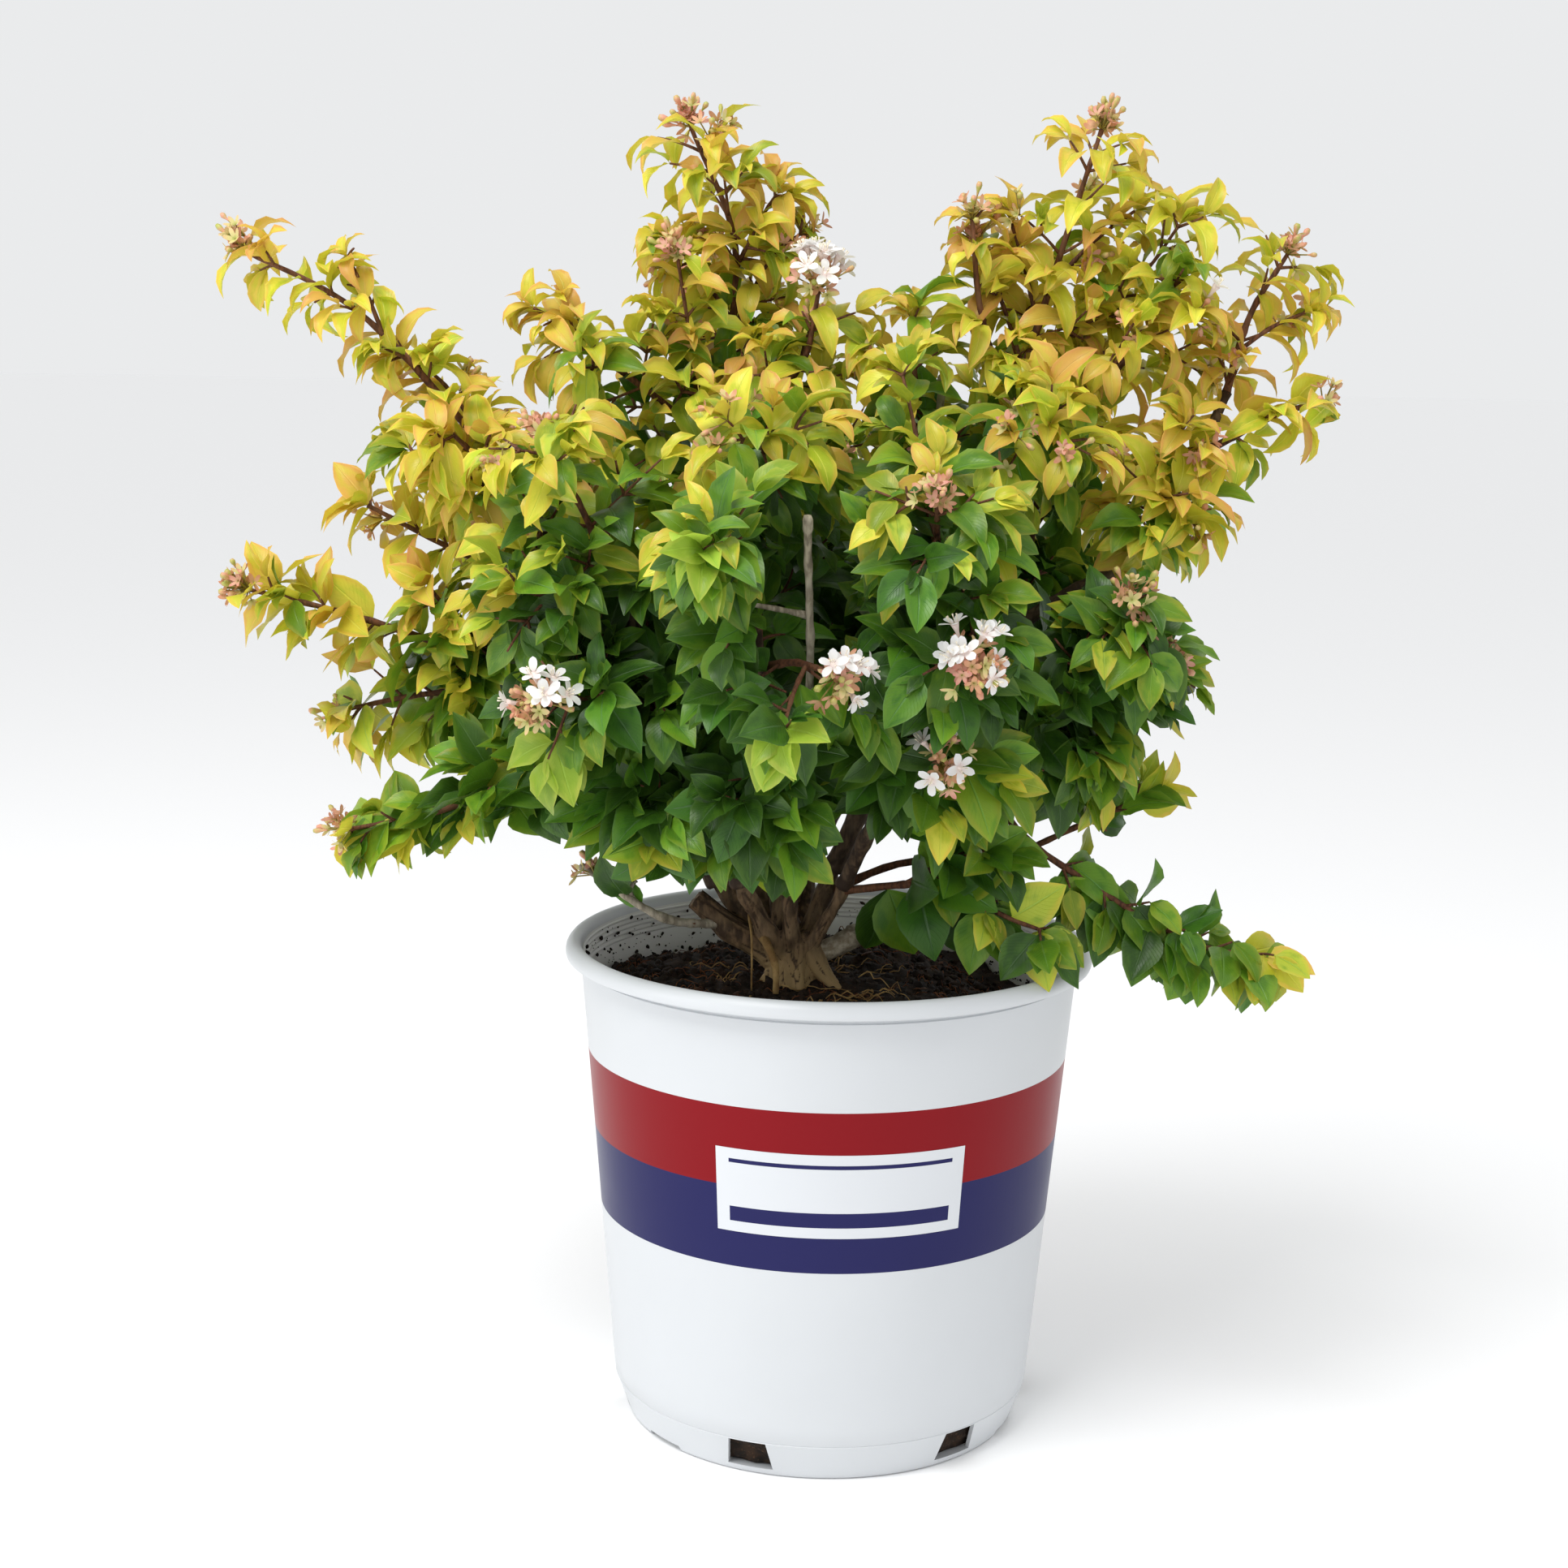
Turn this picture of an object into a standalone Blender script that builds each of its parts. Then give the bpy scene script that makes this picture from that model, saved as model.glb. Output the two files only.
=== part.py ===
"""Glossy abelia grown as a bush in a round nursery pot.

Metres, +Z up. The origin is the centre of the pot's flat underside, +X is to the right of
someone who looks at the printed plate, and that person stands on the -Y side.

A woody crown stands on the potting mix and forks into arms. Tapering canes go on from the arms,
and every mass of foliage grows from one stem that starts on a cane. Each mass keeps to the space
between the flat planes that lie midway to its neighbours. Five masses end in a head of blossoms.
"""

import math
from collections import namedtuple

import bmesh
import bpy
import numpy as np
from mathutils.bvhtree import BVHTree

# Pot: a thin-walled tapered pot with a rolled rim and a foot that turns in
POT_HEIGHT = 0.259
RIM_RADIUS = 0.140
RIM_CREST_RADIUS = 0.1352
RIM_DEPTH = 0.013
RIM_EDGE = 0.0035
WALL_TOP_RADIUS = 0.1317
WALL_TOP_HEIGHT = 0.246
FOOT_TOP_RADIUS = 0.1123
FOOT_HEIGHT = 0.020
FOOT_RADIUS = 0.105
WALL = 0.0025
POT_FLOOR = 0.004
POT_SIDES = 34

# Drain windows through the foot, and the shallow arches under its edge
WINDOW_COUNT = 6
WINDOW_FIRST = math.radians(-19)
WINDOW_WIDTH = 0.022
WINDOW_TAPER = 0.8
WINDOW_BOTTOM = 0.0045
WINDOW_HEIGHT = 0.0150
ARCH_COUNT = 3
ARCH_FIRST = math.radians(-50)
ARCH_WIDTH = 0.028
ARCH_HEIGHT = 0.003
ARCH_INNER_RADIUS = 0.0985

# Potting mix: level round the crown, lower at the wall, lowest on the right
CLEARANCE = 0.0003
SOIL_HEIGHT = 0.240
SOIL_WALL_DROP = 0.014
SOIL_RIGHT_DROP = 0.012
SOIL_RINGS = (0.030, 0.060, 0.085, 0.107)

# Woody crown on the mix
CROWN = np.array([-0.018, -0.018, SOIL_HEIGHT + CLEARANCE])
CROWN_RADIUS = 0.025
CROWN_NECK_RADIUS = 0.015
CROWN_HEIGHT = 0.026
TOE_COUNT = 6
TOE_REACH = 0.036
TOE_RADIUS = 0.0075

# Twigs and leaves of the foliage masses
STEM_RADIUS = 0.0026
STEM_TIP_RADIUS = 0.0015
TWIG_RADIUS = 0.0011
TWIG_TIP_RADIUS = 0.0010
TWIG_SIDES = 3
NODE_STEP = 0.030
TWIG_STEP = 0.042
LONG_TWIG = 0.040
LEAF_LENGTH = 0.074
SLIM_LEAF_LENGTH = 0.048
SPRIG_LEAF_LENGTH = 0.032
LEAF_WIDTH_SHARE = 0.66
LEAF_THICKNESS = 0.0014
LEAF_WIDEST = 0.42
LEAF_FOLD = 0.18
LEAF_DROOP = 0.14
LEAF_HANG = 0.45
LEAF_FREE_SHARE = 0.30
TIP_SHARE = 0.40
TIP_SHRINK = 0.30
ROOT_SHARE = 0.25
SLIM_MASS = 0.037
SPRIG_MASS = 0.028
TRIES = 7
LEAF_SPREAD = 1.05
LEAF_ROLL = 0.6
WELDS = (1e-7, 2e-6)

# White blossoms: five-sided funnels round the end of a stem, one ahead and the rest leaning out
BLOSSOM_LENGTH = 0.021
BLOSSOM_RADIUS = 0.0105
BLOSSOM_LEAN = math.radians(62)
BLOSSOM_STEP = 0.0010
BLOSSOM_ROOM = 0.016
BLOSSOMS = {
    "foliage_top_bloom": 6,
    "foliage_front_left_bloom": 5,
    "foliage_front_mid": 5,
    "foliage_front_right_bloom": 6,
    "foliage_front_right_low": 5,
}

# Room that the foliage keeps
MASS_GAP = 0.0012
MASS_OVERREACH = 1.12
TWIG_TO_LIMB = 0.0020
LEAF_TO_LIMB = 0.0022
LEAF_TO_POT = 0.003
WALL_INSIDE_RADIUS = 0.120
LEAF_TO_SOIL = 0.004
LIMB_SAMPLE = 0.003
STEM_STEP = 0.034
BOUGH_STEP = 0.030
FLAT_END = 0.00002
END_SPOTS = 13
SEED = 2

Limb = namedtuple("Limb", "path radii")

# Arms of the crown: end point, radius at the crown and at the end
ARMS = {
    "arm_left": ((-0.060, -0.002, 0.294), 0.0110, 0.0080),
    "arm_left_back": ((-0.046, 0.018, 0.298), 0.0085, 0.0060),
    "arm_front_left": ((-0.047, -0.038, 0.298), 0.0075, 0.0055),
    "arm_centre": ((-0.030, 0.000, 0.304), 0.0095, 0.0065),
    "arm_front": ((-0.022, -0.040, 0.302), 0.0065, 0.0045),
    "arm_right": ((0.002, -0.006, 0.300), 0.0070, 0.0055),
    "arm_front_right": ((0.008, -0.032, 0.296), 0.0055, 0.0042),
    "arm_back": ((-0.010, 0.024, 0.298), 0.0070, 0.0050),
}
CUT_STUBS = {
    "stub_right": ((0.014, -0.016, 0.264), 0.0080, 0.0075),
    "stub_left": ((-0.071, -0.020, 0.283), 0.0100, 0.0085),
}

# Canes and boughs: what each grows from and how far along it, points passed, end, two radii
BOUGHS = {
    "cane_left_high": (
        "arm_left_back", 1.0, [(-0.120, -0.002, 0.410)], (-0.166, -0.020, 0.500), 0.0058, 0.0026,
    ),
    "cane_left_mid": (
        "arm_left", 1.0, [(-0.120, -0.016, 0.366)], (-0.176, -0.020, 0.406), 0.0080, 0.0028,
    ),
    "cane_front_left": (
        "arm_front_left", 1.0, [(-0.078, -0.070, 0.385)], (-0.106, -0.092, 0.450), 0.0052, 0.0026,
    ),
    "cane_spire": ("arm_centre", 1.0, [(-0.046, 0.004, 0.430)], (-0.060, 0.000, 0.550), 0.0062, 0.0030),
    "cane_front": ("arm_front", 1.0, [(-0.030, -0.088, 0.370)], (-0.038, -0.124, 0.440), 0.0043, 0.0026),
    "cane_right_spire": (
        "arm_back", 1.0, [(0.040, 0.030, 0.420)], (0.092, 0.004, 0.550), 0.0048, 0.0030,
    ),
    "cane_right_arm": (
        "arm_right", 1.0, [(0.050, -0.016, 0.400), (0.107, -0.026, 0.440), (0.165, -0.018, 0.477)],
        (0.198, 0.000, 0.550), 0.0052, 0.0026,
    ),
    "cane_front_right": (
        "arm_front_right", 1.0, [(0.034, -0.078, 0.370)], (0.050, -0.104, 0.440), 0.0040, 0.0024,
    ),
    "cane_back": ("arm_back", 0.75, [(-0.010, 0.062, 0.370)], (-0.012, 0.084, 0.480), 0.0042, 0.0026),
    "bough_left_low": ("cane_left_mid", 0.35, [], (-0.150, -0.044, 0.350), 0.0034, 0.0022),
    "bough_right_mid": ("cane_right_arm", 0.30, [], (0.130, -0.056, 0.400), 0.0032, 0.0022),
    "bough_back_left": ("cane_left_high", 0.25, [], (-0.122, 0.060, 0.440), 0.0036, 0.0024),
    "bough_back_right": ("cane_right_spire", 0.30, [], (0.104, 0.068, 0.440), 0.0034, 0.0024),
    "cut_cane": ("cane_front", 0.15, [(-0.012, -0.112, 0.400)], (-0.014, -0.140, 0.492), 0.0032, 0.0026),
}

# Foliage: what the stem grows from and how far along it, points passed, tip, half width, and
# the share of the stem that is bare at its start
MASSES = {
    "foliage_left_high": (
        "cane_left_high", 1.0, [(-0.245, -0.028, 0.584)],
        (-0.312, -0.030, 0.618), 0.036, 0.10,
    ),
    "foliage_left_shoulder": ("cane_left_high", 0.85, [], (-0.205, -0.062, 0.540), 0.060, 0.20),
    "foliage_left_sprig": (
        "cane_left_high", 0.70, [(-0.200, 0.000, 0.462)],
        (-0.258, -0.016, 0.493), 0.030, 0.35,
    ),
    "foliage_left_mid": (
        "cane_left_mid", 1.0, [(-0.245, -0.030, 0.429)],
        (-0.312, -0.040, 0.446), 0.036, 0.0,
    ),
    "foliage_left_gold": (
        "cane_left_mid", 0.85, [(-0.215, -0.004, 0.386)],
        (-0.272, -0.006, 0.374), 0.046, 0.22,
    ),
    "foliage_left_low": (
        "bough_left_low", 1.0, [(-0.208, -0.050, 0.330)],
        (-0.260, -0.050, 0.319), 0.031, 0.15,
    ),
    "foliage_left_skirt": ("bough_left_low", 0.75, [], (-0.185, -0.084, 0.345), 0.060, 0.20),
    "foliage_front_left_top": ("cane_front_left", 1.0, [], (-0.145, -0.118, 0.535), 0.066, 0.15),
    "foliage_front_left_mid": ("cane_front_left", 0.85, [], (-0.172, -0.124, 0.462), 0.062, 0.25),
    "foliage_front_left_bloom": ("cane_front_left", 0.60, [], (-0.146, -0.150, 0.404), 0.062, 0.25),
    "foliage_front_left_low": ("cane_front_left", 0.35, [], (-0.096, -0.124, 0.346), 0.060, 0.30),
    "foliage_left_spire": (
        "cane_spire", 1.0, [(-0.055, -0.006, 0.620)],
        (-0.083, -0.010, 0.690), 0.054, 0.10,
    ),
    "foliage_left_top": (
        "cane_spire", 0.85, [(-0.110, -0.030, 0.555)],
        (-0.155, -0.030, 0.580), 0.060, 0.20,
    ),
    "foliage_top_bloom": (
        "cane_spire", 0.92, [(-0.020, -0.034, 0.560)],
        (-0.008, -0.050, 0.612), 0.050, 0.35,
    ),
    "foliage_top_small": (
        "cane_right_spire", 0.75, [(0.040, -0.006, 0.545)],
        (0.034, -0.016, 0.600), 0.042, 0.30,
    ),
    "foliage_top_front": ("cane_spire", 0.65, [], (-0.030, -0.140, 0.540), 0.068, 0.30),
    "foliage_front_top": ("cane_front", 1.0, [], (-0.058, -0.182, 0.505), 0.068, 0.15),
    "foliage_front_mid": ("cane_front", 0.85, [], (0.010, -0.186, 0.422), 0.066, 0.25),
    "foliage_front_low": ("cane_front", 0.50, [], (-0.040, -0.130, 0.330), 0.062, 0.30),
    "foliage_front_right_top": ("cane_front_right", 1.0, [], (0.044, -0.165, 0.510), 0.068, 0.15),
    "foliage_front_right_bloom": ("cane_front_right", 0.85, [], (0.064, -0.182, 0.430), 0.064, 0.25),
    "foliage_front_right_low": ("cane_front_right", 0.50, [], (0.056, -0.150, 0.380), 0.062, 0.30),
    "foliage_right_spire": (
        "cane_right_spire", 1.0, [(0.112, 0.000, 0.623)],
        (0.133, 0.000, 0.693), 0.052, 0.05,
    ),
    "foliage_right_inner": (
        "cane_right_spire", 0.95, [(0.070, -0.010, 0.590)],
        (0.063, -0.010, 0.648), 0.032, 0.30,
    ),
    "foliage_right_front": ("cane_right_spire", 0.85, [], (0.108, -0.100, 0.540), 0.062, 0.25),
    "foliage_right_crest": (
        "cane_right_spire", 0.90, [(0.140, -0.006, 0.560)],
        (0.182, -0.006, 0.618), 0.070, 0.10,
    ),
    "foliage_right_high": (
        "cane_right_arm", 1.0, [(0.210, 0.010, 0.590)],
        (0.234, 0.010, 0.632), 0.044, 0.05,
    ),
    "foliage_right_twig": (
        "cane_right_arm", 0.90, [(0.226, -0.012, 0.541)],
        (0.258, -0.018, 0.548), 0.030, 0.25,
    ),
    "foliage_right_shoulder": ("cane_right_arm", 0.75, [], (0.160, -0.064, 0.512), 0.056, 0.15),
    "foliage_right_mid": ("bough_right_mid", 1.0, [], (0.152, -0.098, 0.445), 0.060, 0.15),
    "foliage_right_low": ("bough_right_mid", 0.85, [], (0.190, -0.030, 0.412), 0.044, 0.15),
    "foliage_right_skirt": ("bough_right_mid", 0.55, [], (0.124, -0.084, 0.356), 0.056, 0.30),
    "foliage_right_bare": (
        "arm_right", 0.70, [(0.036, -0.016, 0.303), (0.091, -0.028, 0.311), (0.128, -0.030, 0.328)],
        (0.182, -0.030, 0.354), 0.026, 0.78,
    ),
    "foliage_trailing": (
        "bough_right_mid", 0.35, [(0.089, -0.050, 0.336), (0.131, -0.052, 0.303), (0.189, -0.060, 0.273)],
        (0.238, -0.060, 0.266), 0.036, 0.48,
    ),
    "foliage_over_rim": (
        "arm_front_right", 0.90, [(0.055, -0.056, 0.300), (0.090, -0.072, 0.288)],
        (0.122, -0.088, 0.280), 0.034, 0.22,
    ),
    "foliage_low_sprig": (
        "stub_left", 0.60, [(-0.085, -0.038, 0.276)],
        (-0.132, -0.050, 0.308), 0.020, 0.60,
    ),
    "foliage_back_top": ("cane_back", 1.0, [], (-0.044, 0.102, 0.572), 0.070, 0.15),
    "foliage_back_mid": ("cane_back", 0.85, [], (-0.030, 0.180, 0.450), 0.070, 0.15),
    "foliage_back_low": ("cane_back", 0.50, [], (-0.010, 0.148, 0.350), 0.066, 0.25),
    "foliage_back_left_top": ("bough_back_left", 1.0, [], (-0.168, 0.082, 0.522), 0.068, 0.15),
    "foliage_back_left_mid": ("bough_back_left", 0.80, [], (-0.195, 0.110, 0.414), 0.068, 0.20),
    "foliage_back_right_top": ("bough_back_right", 1.0, [], (0.116, 0.094, 0.536), 0.068, 0.15),
    "foliage_back_right_mid": ("bough_back_right", 0.80, [], (0.155, 0.118, 0.414), 0.068, 0.20),
}


COLLECTION = "glossy_abelia"


def unit(vector):
    return vector / np.linalg.norm(vector)


def material(name, colour, roughness):
    """A Principled material with a plain colour."""
    made = bpy.data.materials.new(name)
    made.use_nodes = True
    shader = made.node_tree.nodes["Principled BSDF"]
    shader.inputs["Base Color"].default_value = (*colour, 1.0)
    shader.inputs["Roughness"].default_value = roughness
    shader.inputs["Metallic"].default_value = 0.0
    return made


def link(name, mesh, collection):
    made = bpy.data.objects.new(name, mesh)
    collection.objects.link(made)
    return made


def mesh_of(obj):
    """The evaluated shape of an object as a mesh of its own, with its caps welded."""
    graph = bpy.context.evaluated_depsgraph_get()
    mesh = bpy.data.meshes.new_from_object(obj.evaluated_get(graph))
    shape = bmesh.new()
    shape.from_mesh(mesh)
    bmesh.ops.remove_doubles(shape, verts=shape.verts, dist=1e-6)
    bmesh.ops.recalc_face_normals(shape, faces=shape.faces)
    shape.to_mesh(mesh)
    shape.free()
    return mesh


def replace_with_mesh(obj):
    """Puts a plain mesh object in the place of a curve or of an object with modifiers."""
    mesh = mesh_of(obj)
    name = obj.name
    home = obj.users_collection[0]
    bpy.data.objects.remove(obj)
    mesh.name = name
    return link(name, mesh, home)


def turned(name, profile, collection):
    """A closed turned solid. The profile is (radius, height) from the axis to the axis."""
    mesh = bpy.data.meshes.new(name)
    points = [(radius, 0.0, height) for radius, height in profile]
    mesh.from_pydata(points, [(i, i + 1) for i in range(len(points) - 1)], [])
    obj = link(name, mesh, collection)
    screw = obj.modifiers.new("turn", "SCREW")
    screw.axis = "Z"
    screw.steps = POT_SIDES
    screw.render_steps = POT_SIDES
    screw.use_merge_vertices = True
    screw.merge_threshold = 0.00001
    screw.use_normal_calculate = False
    return obj


def smooth_path(points, count):
    """Centripetal Catmull-Rom curve through the points, as count points evenly spaced on it."""
    knots = np.array(points, float)
    knots = np.vstack([2 * knots[0] - knots[1], knots, 2 * knots[-1] - knots[-2]])
    times = np.concatenate([[0], np.cumsum(np.sqrt(np.linalg.norm(np.diff(knots, axis=0), axis=1)))])
    dense = []
    for i in range(1, len(knots) - 2):
        t0, t1, t2, t3 = times[i - 1 : i + 3]
        p0, p1, p2, p3 = knots[i - 1 : i + 3]
        t = np.linspace(t1, t2, 24)[:, None]
        a1 = (t1 - t) / (t1 - t0) * p0 + (t - t0) / (t1 - t0) * p1
        a2 = (t2 - t) / (t2 - t1) * p1 + (t - t1) / (t2 - t1) * p2
        a3 = (t3 - t) / (t3 - t2) * p2 + (t - t2) / (t3 - t2) * p3
        b1 = (t2 - t) / (t2 - t0) * a1 + (t - t0) / (t2 - t0) * a2
        b2 = (t3 - t) / (t3 - t1) * a2 + (t - t1) / (t3 - t1) * a3
        dense.append((t2 - t) / (t2 - t1) * b1 + (t - t1) / (t2 - t1) * b2)
    dense = np.vstack(dense)
    run = np.concatenate([[0], np.cumsum(np.linalg.norm(np.diff(dense, axis=0), axis=1))])
    wanted = np.linspace(0, run[-1], count)
    return np.column_stack([np.interp(wanted, run, dense[:, k]) for k in range(3)])


def along(limb, share):
    """Point, direction and radius of a limb at a share of its length."""
    path, radii = limb
    place = share * (len(path) - 1)
    low = min(int(place), len(path) - 2)
    part = place - low
    point = path[low] * (1 - part) + path[low + 1] * part
    return point, unit(path[low + 1] - path[low]), radii[low] * (1 - part) + radii[low + 1] * part


def grown_from(parent, share, goal, radius):
    """Start of a limb that heads for goal: its flat end lies CLEARANCE off the parent."""
    point, direction, thickness = along(parent, share)
    heading = unit(goal - point)
    if share == 1.0:
        lean = math.sqrt(max(0.0, 1 - float(heading @ direction) ** 2))
        return point + direction * (CLEARANCE + radius * lean)
    normal = unit(heading - direction * (heading @ direction))
    lean = math.sqrt(max(0.0, 1 - float(heading @ normal) ** 2))
    return point + normal * (thickness + CLEARANCE + radius * lean)


def limb_between(parent, share, passed, end, start_radius, end_radius, step):
    """A tapering limb from its parent through the passed points to its end."""
    end = np.array(end)
    goal = np.array(passed[0]) if passed else end
    start = grown_from(parent, share, goal, start_radius)
    points = [start, *passed, end]
    if not passed:
        middle = (start + end) / 2
        middle[2] += 0.06 * np.linalg.norm(end - start)
        points = [start, middle, end]
    length = np.linalg.norm(np.diff(np.array(points), axis=0), axis=1).sum()
    count = max(4, round(length / step) + 1)
    path = smooth_path(points, count)
    return Limb(path, np.linspace(start_radius, end_radius, count))


def round_tube(name, limb, resolution, collection):
    """A tapering round limb: a poly curve with a bevel and filled caps, made a mesh."""
    curve = bpy.data.curves.new(name, "CURVE")
    curve.dimensions = "3D"
    curve.bevel_depth = float(limb.radii[0])
    curve.bevel_resolution = resolution
    curve.use_fill_caps = True
    spline = curve.splines.new("POLY")
    spline.points.add(len(limb.path) - 1)
    for knot, point, radius in zip(spline.points, limb.path, limb.radii):
        knot.co = (*point, 1.0)
        knot.radius = float(radius / limb.radii[0])
    return replace_with_mesh(link(name, curve, collection))


def surface_of(obj):
    """The faces of an object for nearest-point searches."""
    corners = [vertex.co.copy() for vertex in obj.data.vertices]
    return BVHTree.FromPolygons(corners, [tuple(face.vertices) for face in obj.data.polygons])


def seat_end(obj, limb, surface):
    """Draws the flat end of a limb up to its parent, so that its nearest point lies CLEARANCE off."""
    start = limb.path[0]
    heading = unit(limb.path[1] - start)
    end = []
    for vertex in obj.data.vertices:
        offset = np.array(vertex.co) - start
        if abs(offset @ heading) < FLAT_END and np.linalg.norm(offset) < limb.radii[0] + FLAT_END:
            end.append(vertex)
    spots = [
        first.co.lerp(second.co, share)
        for first in end for second in end for share in np.linspace(0.0, 1.0, END_SPOTS)
    ]
    nearest = [(surface.find_nearest(spot), spot) for spot in spots]
    (place, _, _, gap), spot = min(nearest, key=lambda item: item[0][3])
    shift = (place - spot) * ((gap - CLEARANCE) / gap)
    for vertex in end:
        vertex.co += shift


def twig_section():
    """A three-sided outline of radius 1 that thin twigs are swept with."""
    curve = bpy.data.curves.new("twig_section", "CURVE")
    spline = curve.splines.new("POLY")
    spline.points.add(TWIG_SIDES - 1)
    spline.use_cyclic_u = True
    for i, knot in enumerate(spline.points):
        turn = 2 * math.pi * i / TWIG_SIDES
        knot.co = (math.cos(turn), math.sin(turn), 0.0, 1.0)
    section = bpy.data.objects.new("twig_section", curve)
    section.hide_render = True
    return section


def thin_tube(name, limb, section, collection):
    """A three-sided tapering twig."""
    curve = bpy.data.curves.new(name, "CURVE")
    curve.dimensions = "3D"
    curve.bevel_mode = "OBJECT"
    curve.bevel_object = section
    curve.use_fill_caps = True
    spline = curve.splines.new("POLY")
    spline.points.add(len(limb.path) - 1)
    for knot, point, radius in zip(spline.points, limb.path, limb.radii):
        knot.co = (*point, 1.0)
        knot.radius = float(radius)
    return replace_with_mesh(link(name, curve, collection))


LEAF_FACES = [(0, 2, 4), (2, 3, 4), (3, 1, 4), (1, 0, 4), (2, 0, 5), (3, 2, 5), (1, 3, 5), (0, 1, 5)]


def leaf_points(root, forward, upward, length):
    """Root, left, right, tip, crown and under point of a folded leaf with a drooping tip."""
    side = np.cross(upward, forward)
    half = length * LEAF_WIDTH_SHARE / 2
    widest = root + forward * length * LEAF_WIDEST
    return np.array([
        root,
        widest + side * half + upward * half * LEAF_FOLD,
        widest - side * half + upward * half * LEAF_FOLD,
        root + forward * length - upward * length * LEAF_DROOP,
        widest + upward * LEAF_THICKNESS / 2,
        widest - upward * LEAF_THICKNESS / 2,
    ])


BLOSSOM_FACES = [(0, 2, 1), (0, 3, 2), (0, 4, 3), (0, 5, 4), (0, 1, 5), (1, 2, 3, 4, 5)]


def blossom_points(root, forward, upward):
    """The root and the five mouth points of a funnel blossom."""
    side = np.cross(upward, forward)
    mouth = root + forward * BLOSSOM_LENGTH
    turns = 2 * math.pi * np.arange(5)[:, None] / 5
    return np.vstack([root, mouth + BLOSSOM_RADIUS * (np.cos(turns) * upward - np.sin(turns) * side)])


def small_solid(name, points, faces, collection):
    """A leaf or a blossom as an object, to be joined to its twig."""
    mesh = bpy.data.meshes.new(name)
    mesh.from_pydata(points.tolist(), [], faces)
    return link(name, mesh, collection)


def united(base, pieces):
    """The base object joined with every object of the pieces collection, as one closed mesh."""
    join = base.modifiers.new("join", "BOOLEAN")
    join.operation = "UNION"
    join.operand_type = "COLLECTION"
    join.collection = pieces
    join.solver = "MANIFOLD"
    joined = replace_with_mesh(base)
    for piece in list(pieces.objects):
        bpy.data.objects.remove(piece)
    keep_largest_shell(joined.data)
    return joined


def keep_largest_shell(mesh):
    """Drops loose scraps and fills sealed hollows: only the shell with the most faces stays."""
    shape = bmesh.new()
    shape.from_mesh(mesh)
    left = set(shape.faces)
    shells = []
    while left:
        edge_of_search = [left.pop()]
        shell = list(edge_of_search)
        while edge_of_search:
            face = edge_of_search.pop()
            for edge in face.edges:
                for other in edge.link_faces:
                    if other in left:
                        left.remove(other)
                        shell.append(other)
                        edge_of_search.append(other)
        shells.append(shell)
    shells.sort(key=len)
    for shell in shells[:-1]:
        bmesh.ops.delete(shape, geom=shell, context="FACES")
    shape.to_mesh(mesh)
    shape.free()


def pot_outline():
    """The pot from the middle of its floor, up the inside, over the rim and down to its base."""
    inner_foot = FOOT_TOP_RADIUS - WALL
    return [
        (0.0, POT_FLOOR),
        (inner_radius(POT_FLOOR), POT_FLOOR),
        (inner_foot, FOOT_HEIGHT),
        (WALL_TOP_RADIUS - WALL, WALL_TOP_HEIGHT),
        (RIM_CREST_RADIUS - 0.0045, POT_HEIGHT - 0.003),
        (RIM_CREST_RADIUS - 0.0020, POT_HEIGHT - 0.0005),
        (RIM_CREST_RADIUS, POT_HEIGHT),
        (RIM_CREST_RADIUS + 0.0025, POT_HEIGHT - 0.0008),
        (RIM_RADIUS - 0.0008, POT_HEIGHT - RIM_EDGE),
        (RIM_RADIUS, POT_HEIGHT - 2 * RIM_EDGE),
        (RIM_RADIUS - 0.0006, POT_HEIGHT - RIM_DEPTH),
        (WALL_TOP_RADIUS + 0.0012, WALL_TOP_HEIGHT),
        (WALL_TOP_RADIUS, WALL_TOP_HEIGHT - 0.004),
        (FOOT_TOP_RADIUS, FOOT_HEIGHT),
        (FOOT_RADIUS, 0.0),
        (0.0, 0.0),
    ]


def inner_radius(height):
    """Radius of the pot's inner wall at a height."""
    heights = (0.0, FOOT_HEIGHT, WALL_TOP_HEIGHT)
    radii = (FOOT_RADIUS, FOOT_TOP_RADIUS, WALL_TOP_RADIUS)
    return float(np.interp(height, heights, radii)) - WALL


def block(name, length, width, height, taper, collection):
    """A box whose top is narrower than its bottom, standing on z = 0, for cutting."""
    shape = bmesh.new()
    bmesh.ops.create_cube(shape, size=1.0)
    for vertex in shape.verts:
        share = taper if vertex.co.z > 0 else 1.0
        vertex.co = (vertex.co.x * length, vertex.co.y * width * share, (vertex.co.z + 0.5) * height)
    mesh = bpy.data.meshes.new(name)
    shape.to_mesh(mesh)
    shape.free()
    cutter = link(name, mesh, collection)
    cutter.hide_render = True
    cutter.display_type = "WIRE"
    return cutter


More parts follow.
